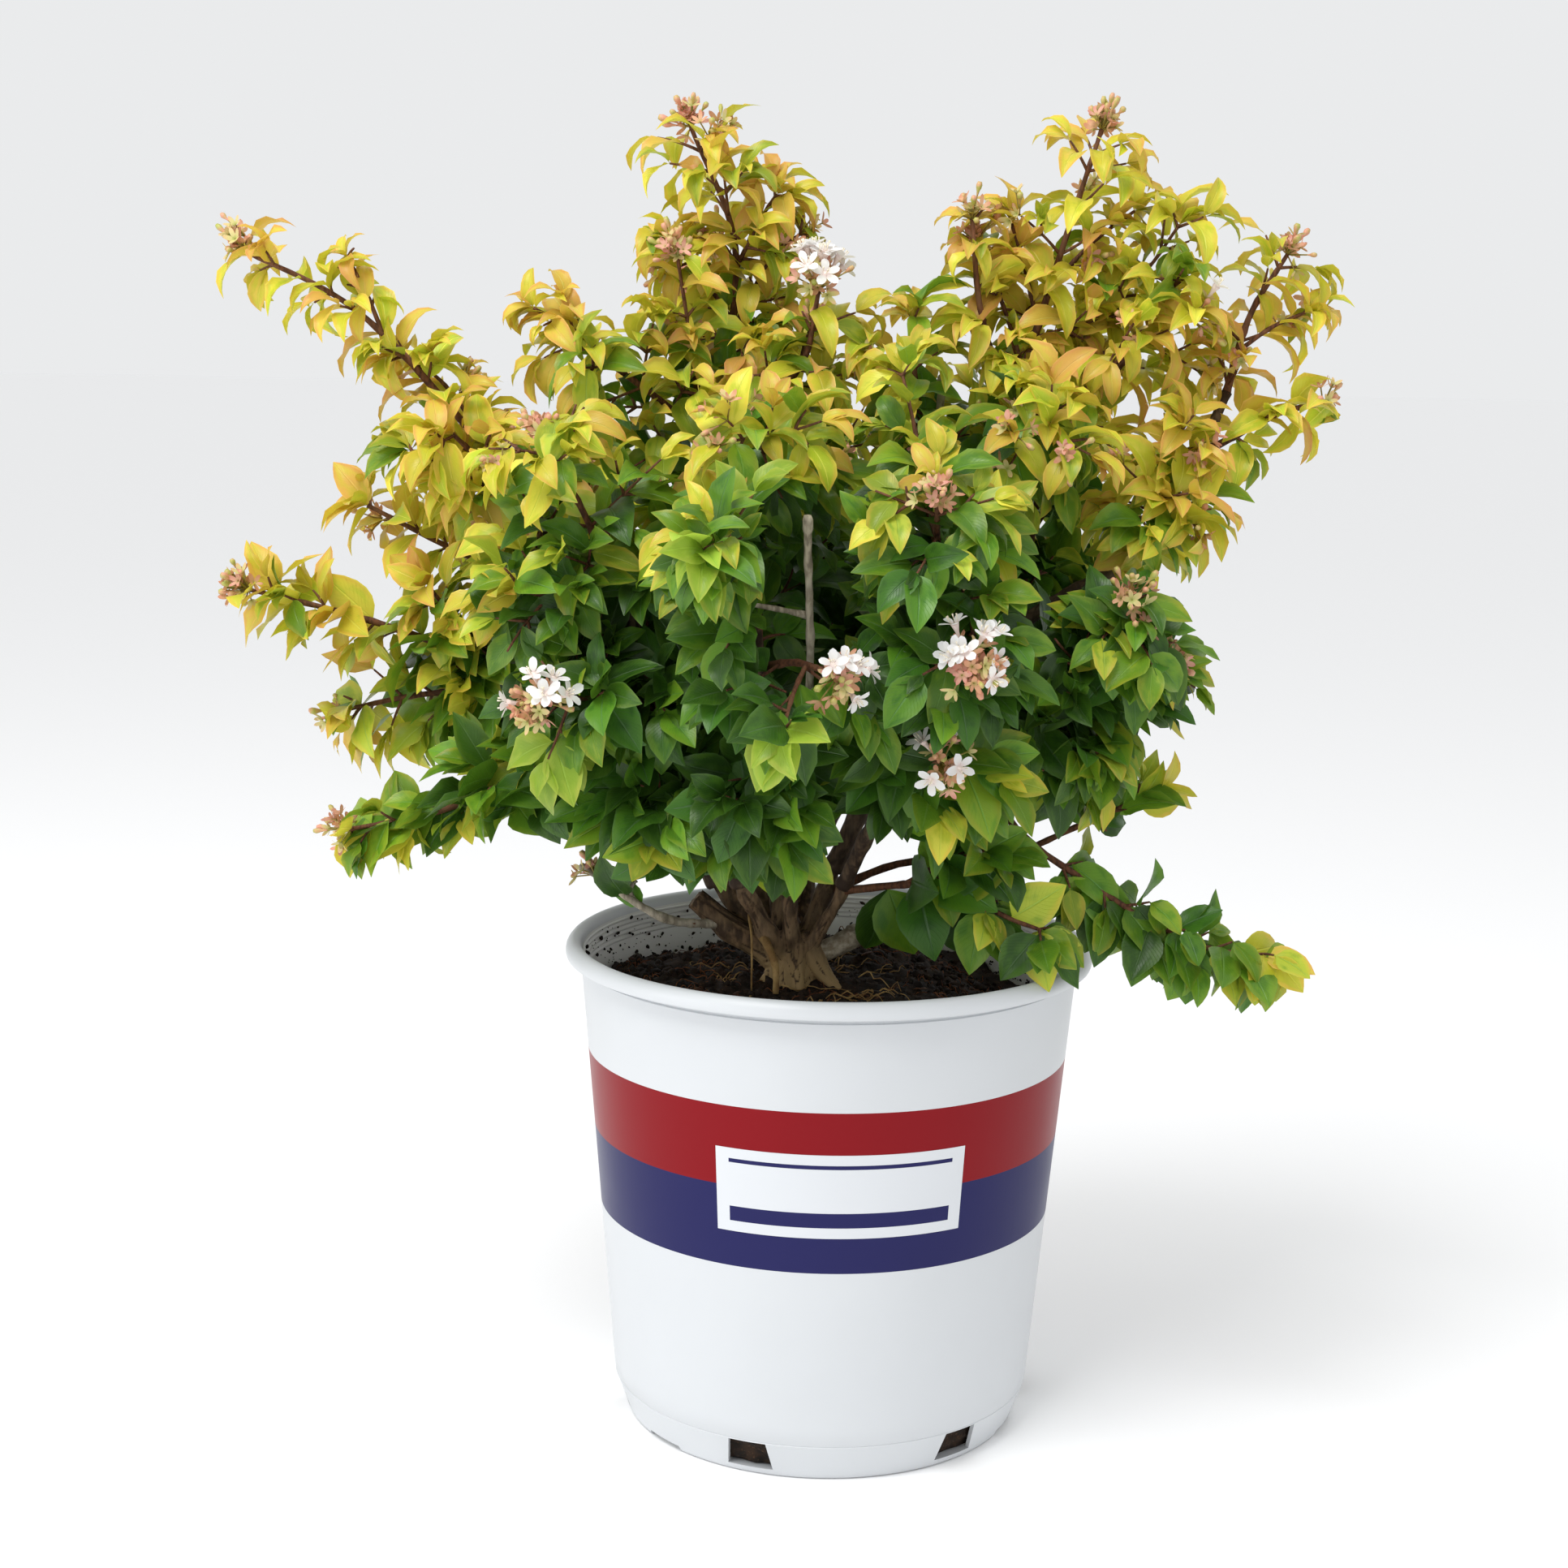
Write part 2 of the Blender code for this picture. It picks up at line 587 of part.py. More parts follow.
def build_pot(collection, cutters):
    pot = turned("pot", pot_outline(), collection)
    for i in range(WINDOW_COUNT):
        turn = WINDOW_FIRST + 2 * math.pi * i / WINDOW_COUNT - math.pi / 2
        cutter = block(f"window_{i}", 0.030, WINDOW_WIDTH, WINDOW_HEIGHT, WINDOW_TAPER, cutters)
        cutter.location = (math.cos(turn) * 0.112, math.sin(turn) * 0.112, WINDOW_BOTTOM)
        cutter.rotation_euler = (0.0, 0.0, turn)
    for i in range(ARCH_COUNT):
        turn = ARCH_FIRST + 2 * math.pi * i / ARCH_COUNT - math.pi / 2
        cutter = block(f"arch_{i}", 0.030, ARCH_WIDTH, 2 * ARCH_HEIGHT, 1.0, cutters)
        middle = ARCH_INNER_RADIUS + 0.015
        cutter.location = (math.cos(turn) * middle, math.sin(turn) * middle, -ARCH_HEIGHT)
        cutter.rotation_euler = (0.0, 0.0, turn)
    cut = pot.modifiers.new("windows", "BOOLEAN")
    cut.operation = "DIFFERENCE"
    cut.operand_type = "COLLECTION"
    cut.collection = cutters
    bpy.context.view_layer.update()
    pot = replace_with_mesh(pot)
    pot.data.shade_smooth()
    pot.data.set_sharp_from_angle(angle=math.radians(40))
    return pot


def soil_level(x, y):
    """Height of the mix: a level middle that falls towards the wall, most on the right."""
    radius = math.hypot(x, y)
    fall = min(1.0, max(0.0, (math.hypot(x - CROWN[0], y - CROWN[1]) - 0.062) / 0.062))
    right = max(0.0, math.cos(math.atan2(y, x) + 0.35)) if radius > 0 else 0.0
    return SOIL_HEIGHT - fall**1.5 * (SOIL_WALL_DROP + SOIL_RIGHT_DROP * right)


def build_soil(collection):
    low = POT_FLOOR + CLEARANCE
    slack = CLEARANCE + 0.0001
    wall_foot = inner_radius(FOOT_HEIGHT) - slack
    wall_top = inner_radius(SOIL_HEIGHT - SOIL_WALL_DROP) - slack
    rings = [(radius, SOIL_HEIGHT) for radius in SOIL_RINGS]
    profile = [(0.0, SOIL_HEIGHT), *rings, (wall_top, SOIL_HEIGHT - SOIL_WALL_DROP)]
    profile += [(wall_foot, FOOT_HEIGHT), (inner_radius(low) - slack, low), (0.0, low)]
    soil = replace_with_mesh(turned("potting_mix", profile, collection))
    for vertex in soil.data.vertices:
        x, y, z = vertex.co
        radius = math.hypot(x, y)
        if z < FOOT_HEIGHT + CLEARANCE:
            continue
        vertex.co.z = soil_level(x, y)
        if radius > SOIL_RINGS[-1] + CLEARANCE:
            narrower = (inner_radius(vertex.co.z) - slack) / radius
            vertex.co.x *= narrower
            vertex.co.y *= narrower
    return soil


def crown_arms():
    """The arms of the woody crown as limbs, from inside the crown to their ends."""
    arms = {}
    for name, (end, start_radius, end_radius) in {**ARMS, **CUT_STUBS}.items():
        end = np.array(end)
        start = CROWN + np.array([0.0, 0.0, 0.010]) + (end - CROWN) * np.array([0.12, 0.12, 0.0])
        middle = (start + end) / 2
        middle[:2] += (end - start)[:2] * 0.06
        path = smooth_path([start, middle, end], 5)
        arms[name] = Limb(path, np.linspace(start_radius, end_radius, 5))
    return arms


def build_crown(arms, collection, pieces, rng):
    """The crown: a squat cone with its arms, cut stubs and root flare, cut flat at the mix."""
    shape = bmesh.new()
    bmesh.ops.create_cone(
        shape, cap_ends=True, segments=12,
        radius1=CROWN_RADIUS, radius2=CROWN_NECK_RADIUS, depth=CROWN_HEIGHT,
    )
    bmesh.ops.translate(shape, verts=shape.verts, vec=CROWN + np.array([0.0, 0.0, CROWN_HEIGHT / 2]))
    mesh = bpy.data.meshes.new("woody_crown")
    shape.to_mesh(mesh)
    shape.free()
    crown = link("woody_crown", mesh, collection)
    for name, limb in arms.items():
        round_tube(name, limb, 1, pieces)
    for i in range(TOE_COUNT):
        turn = 2 * math.pi * (i + 0.4 * rng.random()) / TOE_COUNT
        out = np.array([math.cos(turn), math.sin(turn), 0.0])
        reach = TOE_REACH * (0.85 + 0.3 * rng.random())
        inner = CROWN + out * 0.008 + np.array([0, 0, 0.012])
        middle = CROWN + out * reach * 0.6 + np.array([0, 0, 0.006])
        end = CROWN + out * reach - np.array([0, 0, 0.001])
        path = smooth_path([inner, middle, end], 4)
        round_tube(f"toe_{i}", Limb(path, np.linspace(TOE_RADIUS, TOE_RADIUS * 0.45, 4)), 1, pieces)
    crown = united(crown, pieces)
    shape = bmesh.new()
    shape.from_mesh(crown.data)
    everything = [*shape.verts, *shape.edges, *shape.faces]
    cut = bmesh.ops.bisect_plane(
        shape, geom=everything, dist=1e-7, plane_co=CROWN, plane_no=(0, 0, 1), clear_inner=True
    )
    rim = [item for item in cut["geom_cut"] if isinstance(item, bmesh.types.BMEdge)]
    bmesh.ops.holes_fill(shape, edges=rim, sides=0)
    bmesh.ops.recalc_face_normals(shape, faces=shape.faces)
    shape.to_mesh(crown.data)
    shape.free()
    return crown


def closest_between(a0, a1, b0, b1):
    """The two nearest points of two straight stretches."""
    u, v, w = a1 - a0, b1 - b0, a0 - b0
    a, b, c, d, e = u @ u, u @ v, v @ v, u @ w, v @ w
    gap = a * c - b * b
    s = min(1.0, max(0.0, (b * e - c * d) / gap)) if gap > 1e-12 else 0.0
    t = min(1.0, max(0.0, (b * s + e) / c))
    s = min(1.0, max(0.0, (b * t - d) / a))
    return a0 + u * s, b0 + v * t


def spaces_of(stems):
    """For each mass the planes (normal, offset) that bound its space: midway to every other."""
    spans = {}
    for name, limb in stems.items():
        bare = MASSES[name][5]
        spans[name] = (along(limb, bare)[0], limb.path[-1])
    spaces = {name: [] for name in stems}
    for name, (a0, a1) in spans.items():
        for other, (b0, b1) in spans.items():
            if other == name:
                continue
            here, there = closest_between(a0, a1, b0, b1)
            normal = unit(there - here)
            share = MASSES[name][4] / (MASSES[name][4] + MASSES[other][4])
            limit = here + (there - here) * share
            spaces[name].append((normal, float(normal @ limit) - MASS_GAP / 2))
    return {
        name: (np.array([normal for normal, _ in planes]), np.array([offset for _, offset in planes]))
        for name, planes in spaces.items()
    }


def limb_samples(limbs):
    """Close-set points on the limbs with the limb's radius at each."""
    points = []
    radii = []
    for limb in limbs:
        length = np.linalg.norm(np.diff(limb.path, axis=0), axis=1).sum()
        for share in np.linspace(0, 1, max(2, int(length / LIMB_SAMPLE) + 1)):
            point, _, radius = along(limb, share)
            points.append(point)
            radii.append(radius)
    return np.array(points), np.array(radii)


def clear_of_pot(points):
    """True where every point is off the pot's wall and rim and above the mix."""
    radius = np.hypot(points[:, 0], points[:, 1])
    height = points[:, 2]
    by_wall = radius > WALL_INSIDE_RADIUS
    in_wall = by_wall & (radius < RIM_RADIUS + LEAF_TO_POT) & (height < POT_HEIGHT + LEAF_TO_POT)
    in_soil = ~by_wall & (height < SOIL_HEIGHT + LEAF_TO_SOIL)
    return not (in_wall | in_soil).any()


class Space:
    """The space of one mass, with the limbs of the rest of the plant that it keeps off."""

    def __init__(self, stem, half_width, planes, others):
        self.stem = stem
        self.half_width = half_width
        self.normals, self.offsets = planes
        self.limb_points, self.limb_radii = limb_samples(others)
        self.leaves = []
        self.blossoms = []
        self.blades = None

    def solids(self):
        """Points and faces of each leaf and blossom there is."""
        leaves = [(points, LEAF_FACES) for points in self.leaves]
        return leaves + [(points, BLOSSOM_FACES) for points in self.blossoms]

    def note_blades(self):
        """Keeps every leaf and blossom in one search tree, for leaves that are yet to grow."""
        corners = []
        faces = []
        for points, outline in self.solids():
            faces += [tuple(len(corners) + k for k in face) for face in outline]
            corners += [tuple(corner) for corner in points]
        self.blades = BVHTree.FromPolygons(corners, faces)

    def add_leaf(self, points):
        self.leaves.append(points)
        self.note_blades()

    def add_blossom(self, points):
        self.blossoms.append(points)
        self.note_blades()

    def crosses_a_leaf(self, points):
        """Whether the outer part of a new leaf would cut a leaf that is there already."""
        if self.blades is None:
            return False
        outer = points.copy()
        outer[0] += (points[3] - points[0]) * LEAF_FREE_SHARE
        blade = BVHTree.FromPolygons([tuple(corner) for corner in outer], LEAF_FACES)
        return bool(self.blades.overlap(blade))

    def holds(self, points):
        inside = (points @ self.normals.T <= self.offsets).all()
        if not inside or not clear_of_pot(points):
            return False
        gaps = np.linalg.norm(points[:, None, :] - self.stem.path[None, :, :], axis=2).min(axis=1)
        return gaps.max() <= self.half_width * MASS_OVERREACH

    def twig_fits(self, limb):
        if not self.holds(limb.path[1:]):
            return False
        points, radii = limb_samples([limb])
        gaps = np.linalg.norm(points[:, None, :] - self.limb_points[None, :, :], axis=2)
        return (gaps > radii[:, None] + self.limb_radii[None, :] + TWIG_TO_LIMB).all()

    def blossom_fits(self, points, forward):
        """Whether a blossom keeps to the space and its funnel keeps off the limbs."""
        if not self.holds(points):
            return False
        shares = np.linspace(0.2, 1.0, 5)[:, None]
        spots = points[0] + forward * BLOSSOM_LENGTH * shares
        gaps = np.linalg.norm(spots[:, None, :] - self.limb_points[None, :, :], axis=2)
        return (gaps > BLOSSOM_RADIUS * shares + self.limb_radii[None, :] + LEAF_TO_LIMB).all()

    def leaf_fits(self, points, forward, upward, length):
        edges = (points[[1, 2, 1, 2]] + points[[0, 0, 3, 3]]) / 2
        if not self.holds(np.vstack([points, edges])):
            return False
        side = np.cross(upward, forward)
        offset = self.limb_points - points[0]
        ahead, across, above = offset @ forward, offset @ side, offset @ upward
        margin = self.limb_radii + LEAF_TO_LIMB
        half = length * LEAF_WIDTH_SHARE / 2
        width = np.interp(ahead, [0, length * LEAF_WIDEST, length], [0, half, 0]) + margin
        near = (ahead > -margin) & (ahead < length + margin) & (np.abs(across) < width)
        low = -LEAF_DROOP * length - LEAF_THICKNESS - margin
        high = half * LEAF_FOLD + LEAF_THICKNESS + margin
        return not (near & (above > low) & (above < high)).any()


def upright(forward):
    """The direction nearest to straight up that is square to forward."""
    level = np.array([0.0, 0.0, 1.0]) - forward * forward[2]
    if np.linalg.norm(level) < 0.2:
        level = np.array([0.0, 1.0, 0.0]) - forward * forward[1]
    return unit(level)


def pair_sides(direction, turn):
    """Two opposite directions square to a stem, turned about it."""
    first = upright(direction)
    second = np.cross(direction, first)
    out = first * math.cos(turn) + second * math.sin(turn)
    return out, -out


def leaf_length(half_width):
    if half_width < SPRIG_MASS:
        return SPRIG_LEAF_LENGTH
    return SLIM_LEAF_LENGTH if half_width < SLIM_MASS else LEAF_LENGTH


def tip_room(name, half_width):
    """How far short of its mass's tip a stem ends, for the leaf or the blossoms on its end."""
    return BLOSSOM_ROOM if name in BLOSSOMS else leaf_length(half_width) * TIP_SHARE


def add_blossoms(space, count, rng):
    """A head of blossoms round the stem's end: one ahead, the rest leaning out all round."""
    tip, direction, _ = along(space.stem, 1.0)
    turn = rng.random() * math.pi
    for i in range(count):
        lean = BLOSSOM_LEAN if i else 0.0
        out = pair_sides(direction, turn + 2 * math.pi * i / (count - 1))[0]
        heading = out * math.sin(lean) + direction * math.cos(lean)
        root = tip - direction * BLOSSOM_STEP * (i + 1)
        points = blossom_points(root, heading, upright(heading))
        if space.blossom_fits(points, heading):
            space.add_blossom(points)


def add_leaf(space, point, direction, out, length, radius, rng):
    """Grows a leaf that leans forward and hangs from its node, where one fits."""
    for attempt in range(TRIES):
        spread = LEAF_SPREAD + rng.normal(0, 0.12 + 0.08 * attempt)
        heading = out * math.sin(spread) + direction * math.cos(spread)
        heading = unit(heading + np.array([0.0, 0.0, -LEAF_HANG]) + rng.normal(0, 0.12, 3))
        upward = upright(heading)
        tilt = rng.normal(0, LEAF_ROLL)
        upward = upward * math.cos(tilt) + np.cross(heading, upward) * math.sin(tilt)
        size = length * (1 - 0.06 * attempt)
        points = leaf_points(point - heading * radius * ROOT_SHARE, heading, upward, size)
        if space.leaf_fits(points, heading, upward, size) and not space.crosses_a_leaf(points):
            space.add_leaf(points)
            return


def grow(space, bare, rng):
    """Twigs and leaves of one mass. Opposite pairs leave the stem, each turned from the last."""
    twigs = []
    stem = space.stem
    length = np.linalg.norm(np.diff(stem.path, axis=0), axis=1).sum()
    slim = space.half_width < SLIM_MASS
    leaf = leaf_length(space.half_width)
    pairs = max(2, round(length * (1 - bare) / (NODE_STEP if slim else TWIG_STEP)))
    turn = rng.random() * math.pi
    tip, direction, radius = along(stem, 1.0)
    add_leaf(space, tip - direction * radius, direction, direction, leaf * (1 - TIP_SHRINK), radius, rng)
    for i in range(pairs, -1, -1):
        share = min(0.985, bare + (1 - bare) * i / pairs)
        point, direction, radius = along(stem, share)
        turn += math.pi / 2 + rng.normal(0, 0.25)
        for out in pair_sides(direction, turn):
            reach = (space.half_width - leaf * 0.35) * (1.15 - 0.35 * share)
            twig = None
            if not slim and reach > 0.012 and i < pairs:
                twig = side_twig(space, point, direction, out, reach, rng)
            if twig is None:
                size = leaf * (1.08 - TIP_SHRINK * share) * rng.uniform(0.9, 1.05)
                add_leaf(space, point, direction, out, size, radius, rng)
                continue
            before = len(space.leaves)
            twig_leaves(space, twig, leaf * (1.08 - TIP_SHRINK * share), rng)
            if len(space.leaves) > before:
                twigs.append(twig)
    return twigs


def side_twig(space, point, direction, out, reach, rng):
    """A short twig that leaves the stem at about 50 degrees, shortened until it fits."""
    heading = unit(out * 0.78 + direction * 0.62 + rng.normal(0, 0.10, 3))
    for share in (1.0, 0.7, 0.45):
        path = np.array([point, point + heading * reach * share])
        limb = Limb(path, np.array([TWIG_RADIUS, TWIG_TIP_RADIUS]))
        if space.twig_fits(limb):
            return limb
    return None


def twig_leaves(space, twig, leaf, rng):
    """Pairs of leaves along a twig: two on a short one, three on a long one."""
    turn = rng.random() * math.pi
    long = np.linalg.norm(twig.path[-1] - twig.path[0]) > LONG_TWIG
    for share, size in ((0.95, 0.9), (0.62, 1.0), (0.28, 1.0)) if long else ((0.95, 0.9), (0.45, 1.0)):
        point, direction, radius = along(twig, share)
        for out in pair_sides(direction, turn):
            add_leaf(space, point, direction, out, leaf * size * rng.uniform(0.85, 1.05), radius, rng)
        turn += math.pi / 2


def is_closed(mesh):
    """Whether every edge has two faces, also once points under each of the WELDS apart are one."""
    sound = True
    for distance in WELDS:
        shape = bmesh.new()
        shape.from_mesh(mesh)
        bmesh.ops.remove_doubles(shape, verts=shape.verts, dist=distance)
        sound = sound and all(len(edge.link_faces) == 2 for edge in shape.edges)
        shape.free()
    return sound


def build_mass(name, space, bare, section, collection, pieces, rng):
    """One mass as a closed solid. A leaf or twig that keeps the join from closing is left off."""
    if name in BLOSSOMS:
        add_blossoms(space, BLOSSOMS[name], rng)
    twigs = grow(space, bare, rng)
    while True:
        base = thin_tube(name, space.stem, section, collection)
        for i, twig in enumerate(twigs):
            thin_tube(f"{name}_twig_{i}", twig, section, pieces)
        for i, (points, faces) in enumerate(space.solids()):
            small_solid(f"{name}_blade_{i}", points, faces, pieces)
        mass = united(base, pieces)
        if is_closed(mass.data):
            return mass
        pieces_left = space.leaves or twigs
        pieces_left.pop(rng.integers(len(pieces_left)))
        bpy.data.objects.remove(mass)


def foliage_colour(height):
    """Deep green low down, yellow-green in the middle, gold at the top."""
    stops = (0.30, 0.44, 0.54, 0.66)
    colours = np.array([
        (0.035, 0.120, 0.022),
        (0.090, 0.200, 0.030),
        (0.300, 0.310, 0.040),
        (0.520, 0.300, 0.060),
    ])
    return tuple(float(np.interp(height, stops, colours[:, k])) for k in range(3))


def build():
    for obj in list(bpy.data.objects):
        bpy.data.objects.remove(obj)
    scene = bpy.context.scene.collection
    collection = bpy.data.collections.new(COLLECTION)
    cutters = bpy.data.collections.new("cutters")
    pieces = bpy.data.collections.new("pieces")
    for made in (collection, cutters, pieces):
        scene.children.link(made)
    rng = np.random.default_rng(SEED)

    pot = build_pot(collection, cutters)
    pot.data.materials.append(material("white_plastic", (0.80, 0.81, 0.83), 0.35))
    soil = build_soil(collection)
    soil.data.materials.append(material("potting_mix", (0.030, 0.020, 0.014), 0.95))

    bark = material("bark", (0.150, 0.095, 0.055), 0.85)
    limbs = crown_arms()
    crown = build_crown(limbs, collection, pieces, rng)
    crown.data.materials.append(bark)

    surfaces = dict.fromkeys(limbs, surface_of(crown))
    for name, (parent, share, passed, end, start_radius, end_radius) in BOUGHS.items():
        limbs[name] = limb_between(limbs[parent], share, passed, end, start_radius, end_radius, BOUGH_STEP)
        bough = round_tube(name, limbs[name], 1, collection)
        seat_end(bough, limbs[name], surfaces[parent])
        surfaces[name] = surface_of(bough)
        bough.data.shade_smooth()
        bough.data.materials.append(bark)

    stems = {}
    for name, (parent, share, passed, tip, half_width, _) in MASSES.items():
        behind = np.array(passed[-1]) if passed else along(limbs[parent], share)[0]
        end = tip - unit(tip - behind) * tip_room(name, half_width)
        stems[name] = limb_between(limbs[parent], share, passed, end, STEM_RADIUS, STEM_TIP_RADIUS, STEM_STEP)
    planes = spaces_of(stems)
    section = twig_section()
    leaf_count = 0
    blossom_count = 0
    for index, (name, (parent, _, _, tip, half_width, bare)) in enumerate(MASSES.items()):
        others = [*limbs.values(), *(stem for other, stem in stems.items() if other != name)]
        space = Space(stems[name], half_width, planes[name], others)
        own_rng = np.random.default_rng([SEED, index])
        mass = build_mass(name, space, bare, section, collection, pieces, own_rng)
        seat_end(mass, stems[name], surfaces[parent])
        mass.data.materials.append(material(name, foliage_colour(tip[2]), 0.45))
        leaf_count += len(space.leaves)
        blossom_count += len(space.blossoms)
    print("leaves in all:", leaf_count, "and blossoms:", blossom_count)
    bpy.data.objects.remove(section)
    bpy.data.collections.remove(pieces)


build()
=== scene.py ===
"""Looks of a potted glossy abelia: the pot, its mix, the woody crown, canes, foliage and blossom.

Metres, +Z up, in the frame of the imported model. The sections follow the plant from the pot up.
"""

import math

import bpy
import numpy as np
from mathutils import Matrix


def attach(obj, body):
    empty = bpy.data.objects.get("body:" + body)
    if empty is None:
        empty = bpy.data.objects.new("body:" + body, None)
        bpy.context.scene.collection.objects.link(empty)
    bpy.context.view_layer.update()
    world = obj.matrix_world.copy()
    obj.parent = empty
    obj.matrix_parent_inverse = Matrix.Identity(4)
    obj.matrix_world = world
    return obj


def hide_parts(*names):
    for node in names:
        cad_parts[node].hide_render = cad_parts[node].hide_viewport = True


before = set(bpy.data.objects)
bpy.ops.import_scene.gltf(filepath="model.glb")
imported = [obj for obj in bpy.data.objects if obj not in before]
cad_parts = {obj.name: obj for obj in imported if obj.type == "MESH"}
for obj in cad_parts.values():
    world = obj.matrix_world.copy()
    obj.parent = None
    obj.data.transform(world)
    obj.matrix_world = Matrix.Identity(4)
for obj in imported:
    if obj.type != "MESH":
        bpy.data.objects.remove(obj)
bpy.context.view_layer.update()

# Pot. A white injection-moulded nursery pot of polypropylene with a rolled rim, thin rings round the
# inside below it and a foot that turns in. Two bands are printed round the wall, and drain windows
# and shallow arches are left open in the foot.
POT_SIDES = 216
WALL_HEIGHTS = (0.0, 0.020, 0.246)
WALL_RADII = (0.105, 0.1123, 0.1317)
WALL = 0.0025
POT_FLOOR = 0.004
FOOT_TOP = 0.0200
MOULD_LINE = 0.0204
MOULD_DEPTH = 0.00035
BAND_EDGES = (0.1160, 0.1590, 0.2010)
RIM_OUTSIDE = (
    (0.1317, 0.2466), (0.1308, 0.2472), (0.1307, 0.2512), (0.1345, 0.2512), (0.1374, 0.2506),
    (0.1389, 0.2504), (0.1396, 0.2508), (0.1399, 0.2518), (0.1400, 0.2534), (0.1397, 0.2549),
    (0.1391, 0.2562), (0.1378, 0.2578), (0.1361, 0.2589), (0.1346, 0.2589), (0.1331, 0.2582),
    (0.1322, 0.2571), (0.1314, 0.2555), (0.1309, 0.2538),
)
RING_COUNT = 5
RING_STEP = 0.0026
RING_TOP = 0.2528
RING_RADIUS = 0.1306
RING_LEAN = 0.00028
RING_RELIEF = 0.0008
WINDOW_COUNT = 6
WINDOW_FIRST = math.radians(-19)
WINDOW_HEIGHTS = (0.0038, 0.0198)
WINDOW_HALF_WIDTHS = (0.0122, 0.0100)
ARCH_COUNT = 3
ARCH_FIRST = math.radians(-50)
ARCH_HEIGHT = 0.003
ARCH_HALF_WIDTHS = (0.0145, 0.0125)
CUT_RADII = (0.097, 0.122)
CRISP = math.radians(34)


class Value:
    """A number, colour or direction on its way through the nodes of a finish."""

    def __init__(self, finish, socket):
        self.finish = finish
        self.socket = socket

    def __add__(self, other):
        return self.finish.math("ADD", self, other)

    def __radd__(self, other):
        return self.finish.math("ADD", other, self)

    def __sub__(self, other):
        return self.finish.math("SUBTRACT", self, other)

    def __rsub__(self, other):
        return self.finish.math("SUBTRACT", other, self)

    def __mul__(self, other):
        return self.finish.math("MULTIPLY", self, other)

    def __rmul__(self, other):
        return self.finish.math("MULTIPLY", other, self)

    def __truediv__(self, other):
        return self.finish.math("DIVIDE", self, other)

    def __rtruediv__(self, other):
        return self.finish.math("DIVIDE", other, self)


class Finish:
    """A material in the making: a Principled shader, its fixed values and the nodes that feed it."""

    def __init__(self, name, fixed):
        self.material = bpy.data.materials.new(name)
        self.material.use_nodes = True
        self.tree = self.material.node_tree
        self.shader = self.tree.nodes["Principled BSDF"]
        for socket, value in fixed.items():
            self.shader.inputs[socket].default_value = value

    def join(self, value, socket):
        """Links a value to a socket, or sets the socket to a plain number or colour."""
        if isinstance(value, Value):
            self.tree.links.new(value.socket, socket)
        else:
            socket.default_value = value

    def feed(self, name, value):
        self.join(value, self.shader.inputs[name])

    def node(self, kind, settings, inputs, output=0):
        """Any node: its settings first, then its sockets by value or link."""
        made = self.tree.nodes.new(kind)
        for key, value in settings.items():
            setattr(made, key, value)
        for key, value in inputs.items():
            self.join(value, made.inputs[key])
        return Value(self, made.outputs[output])

    def math(self, operation, *values):
        return self.node("ShaderNodeMath", {"operation": operation}, dict(enumerate(values)))

    def mix(self, share, first, second):
        return self.node("ShaderNodeMix", {"data_type": "RGBA"}, {0: share, 6: first, 7: second}, 2)

    def parts(self, vector):
        """The three numbers of a vector."""
        split = self.tree.nodes.new("ShaderNodeSeparateXYZ")
        self.join(vector, split.inputs[0])
        return [Value(self, output) for output in split.outputs]

    def step(self, value, low, high):
        """0 below low, 1 above high and a soft step between them."""
        inputs = {"Value": value, "From Min": low, "From Max": high}
        return self.node("ShaderNodeMapRange", {"interpolation_type": "SMOOTHSTEP"}, inputs)

    def place(self, stretch=(1.0, 1.0, 1.0)):
        """The piece's own coordinates, in metres, stretched."""
        spot = self.node("ShaderNodeTexCoord", {}, {}, "Object")
        return self.node("ShaderNodeVectorMath", {"operation": "MULTIPLY"}, {0: spot, 1: stretch})

    def noise(self, place, scale, detail=3.0):
        return self.node("ShaderNodeTexNoise", {}, {"Vector": place, "Scale": scale, "Detail": detail})

    def bump(self, height, strength, distance):
        inputs = {"Strength": strength, "Distance": distance, "Height": height}
        self.feed("Normal", self.node("ShaderNodeBump", {}, inputs))

    def let_light_through(self, share, colour):
        """Blends in light that passes through a thin leaf or petal from behind."""
        glow = self.node("ShaderNodeBsdfTranslucent", {}, {"Color": colour})
        blend = self.tree.nodes.new("ShaderNodeMixShader")
        blend.inputs[0].default_value = share
        self.tree.links.new(self.shader.outputs[0], blend.inputs[1])
        self.join(glow, blend.inputs[2])
        self.tree.links.new(blend.outputs[0], self.tree.nodes["Material Output"].inputs[0])


def tint(red, green, blue):
    """A colour as read off a paint card, 0 to 255, turned into linear light."""
    shade = np.array([red, green, blue]) / 255
    light = np.where(shade <= 0.04045, shade / 12.92, ((shade + 0.055) / 1.055) ** 2.4)
    return (*map(float, light), 1.0)


def grid_faces(rows, columns, closed=False):
    """Quads between the points of a grid; closed joins its last column to its first."""
    spans = columns if closed else columns - 1
    row, column = np.meshgrid(np.arange(rows - 1), np.arange(spans), indexing="ij")
    after = (column + 1) % columns
    corners = [row * columns + column, row * columns + after]
    corners += [(row + 1) * columns + after, (row + 1) * columns + column]
    return np.stack(corners, axis=-1).reshape(-1, 4)


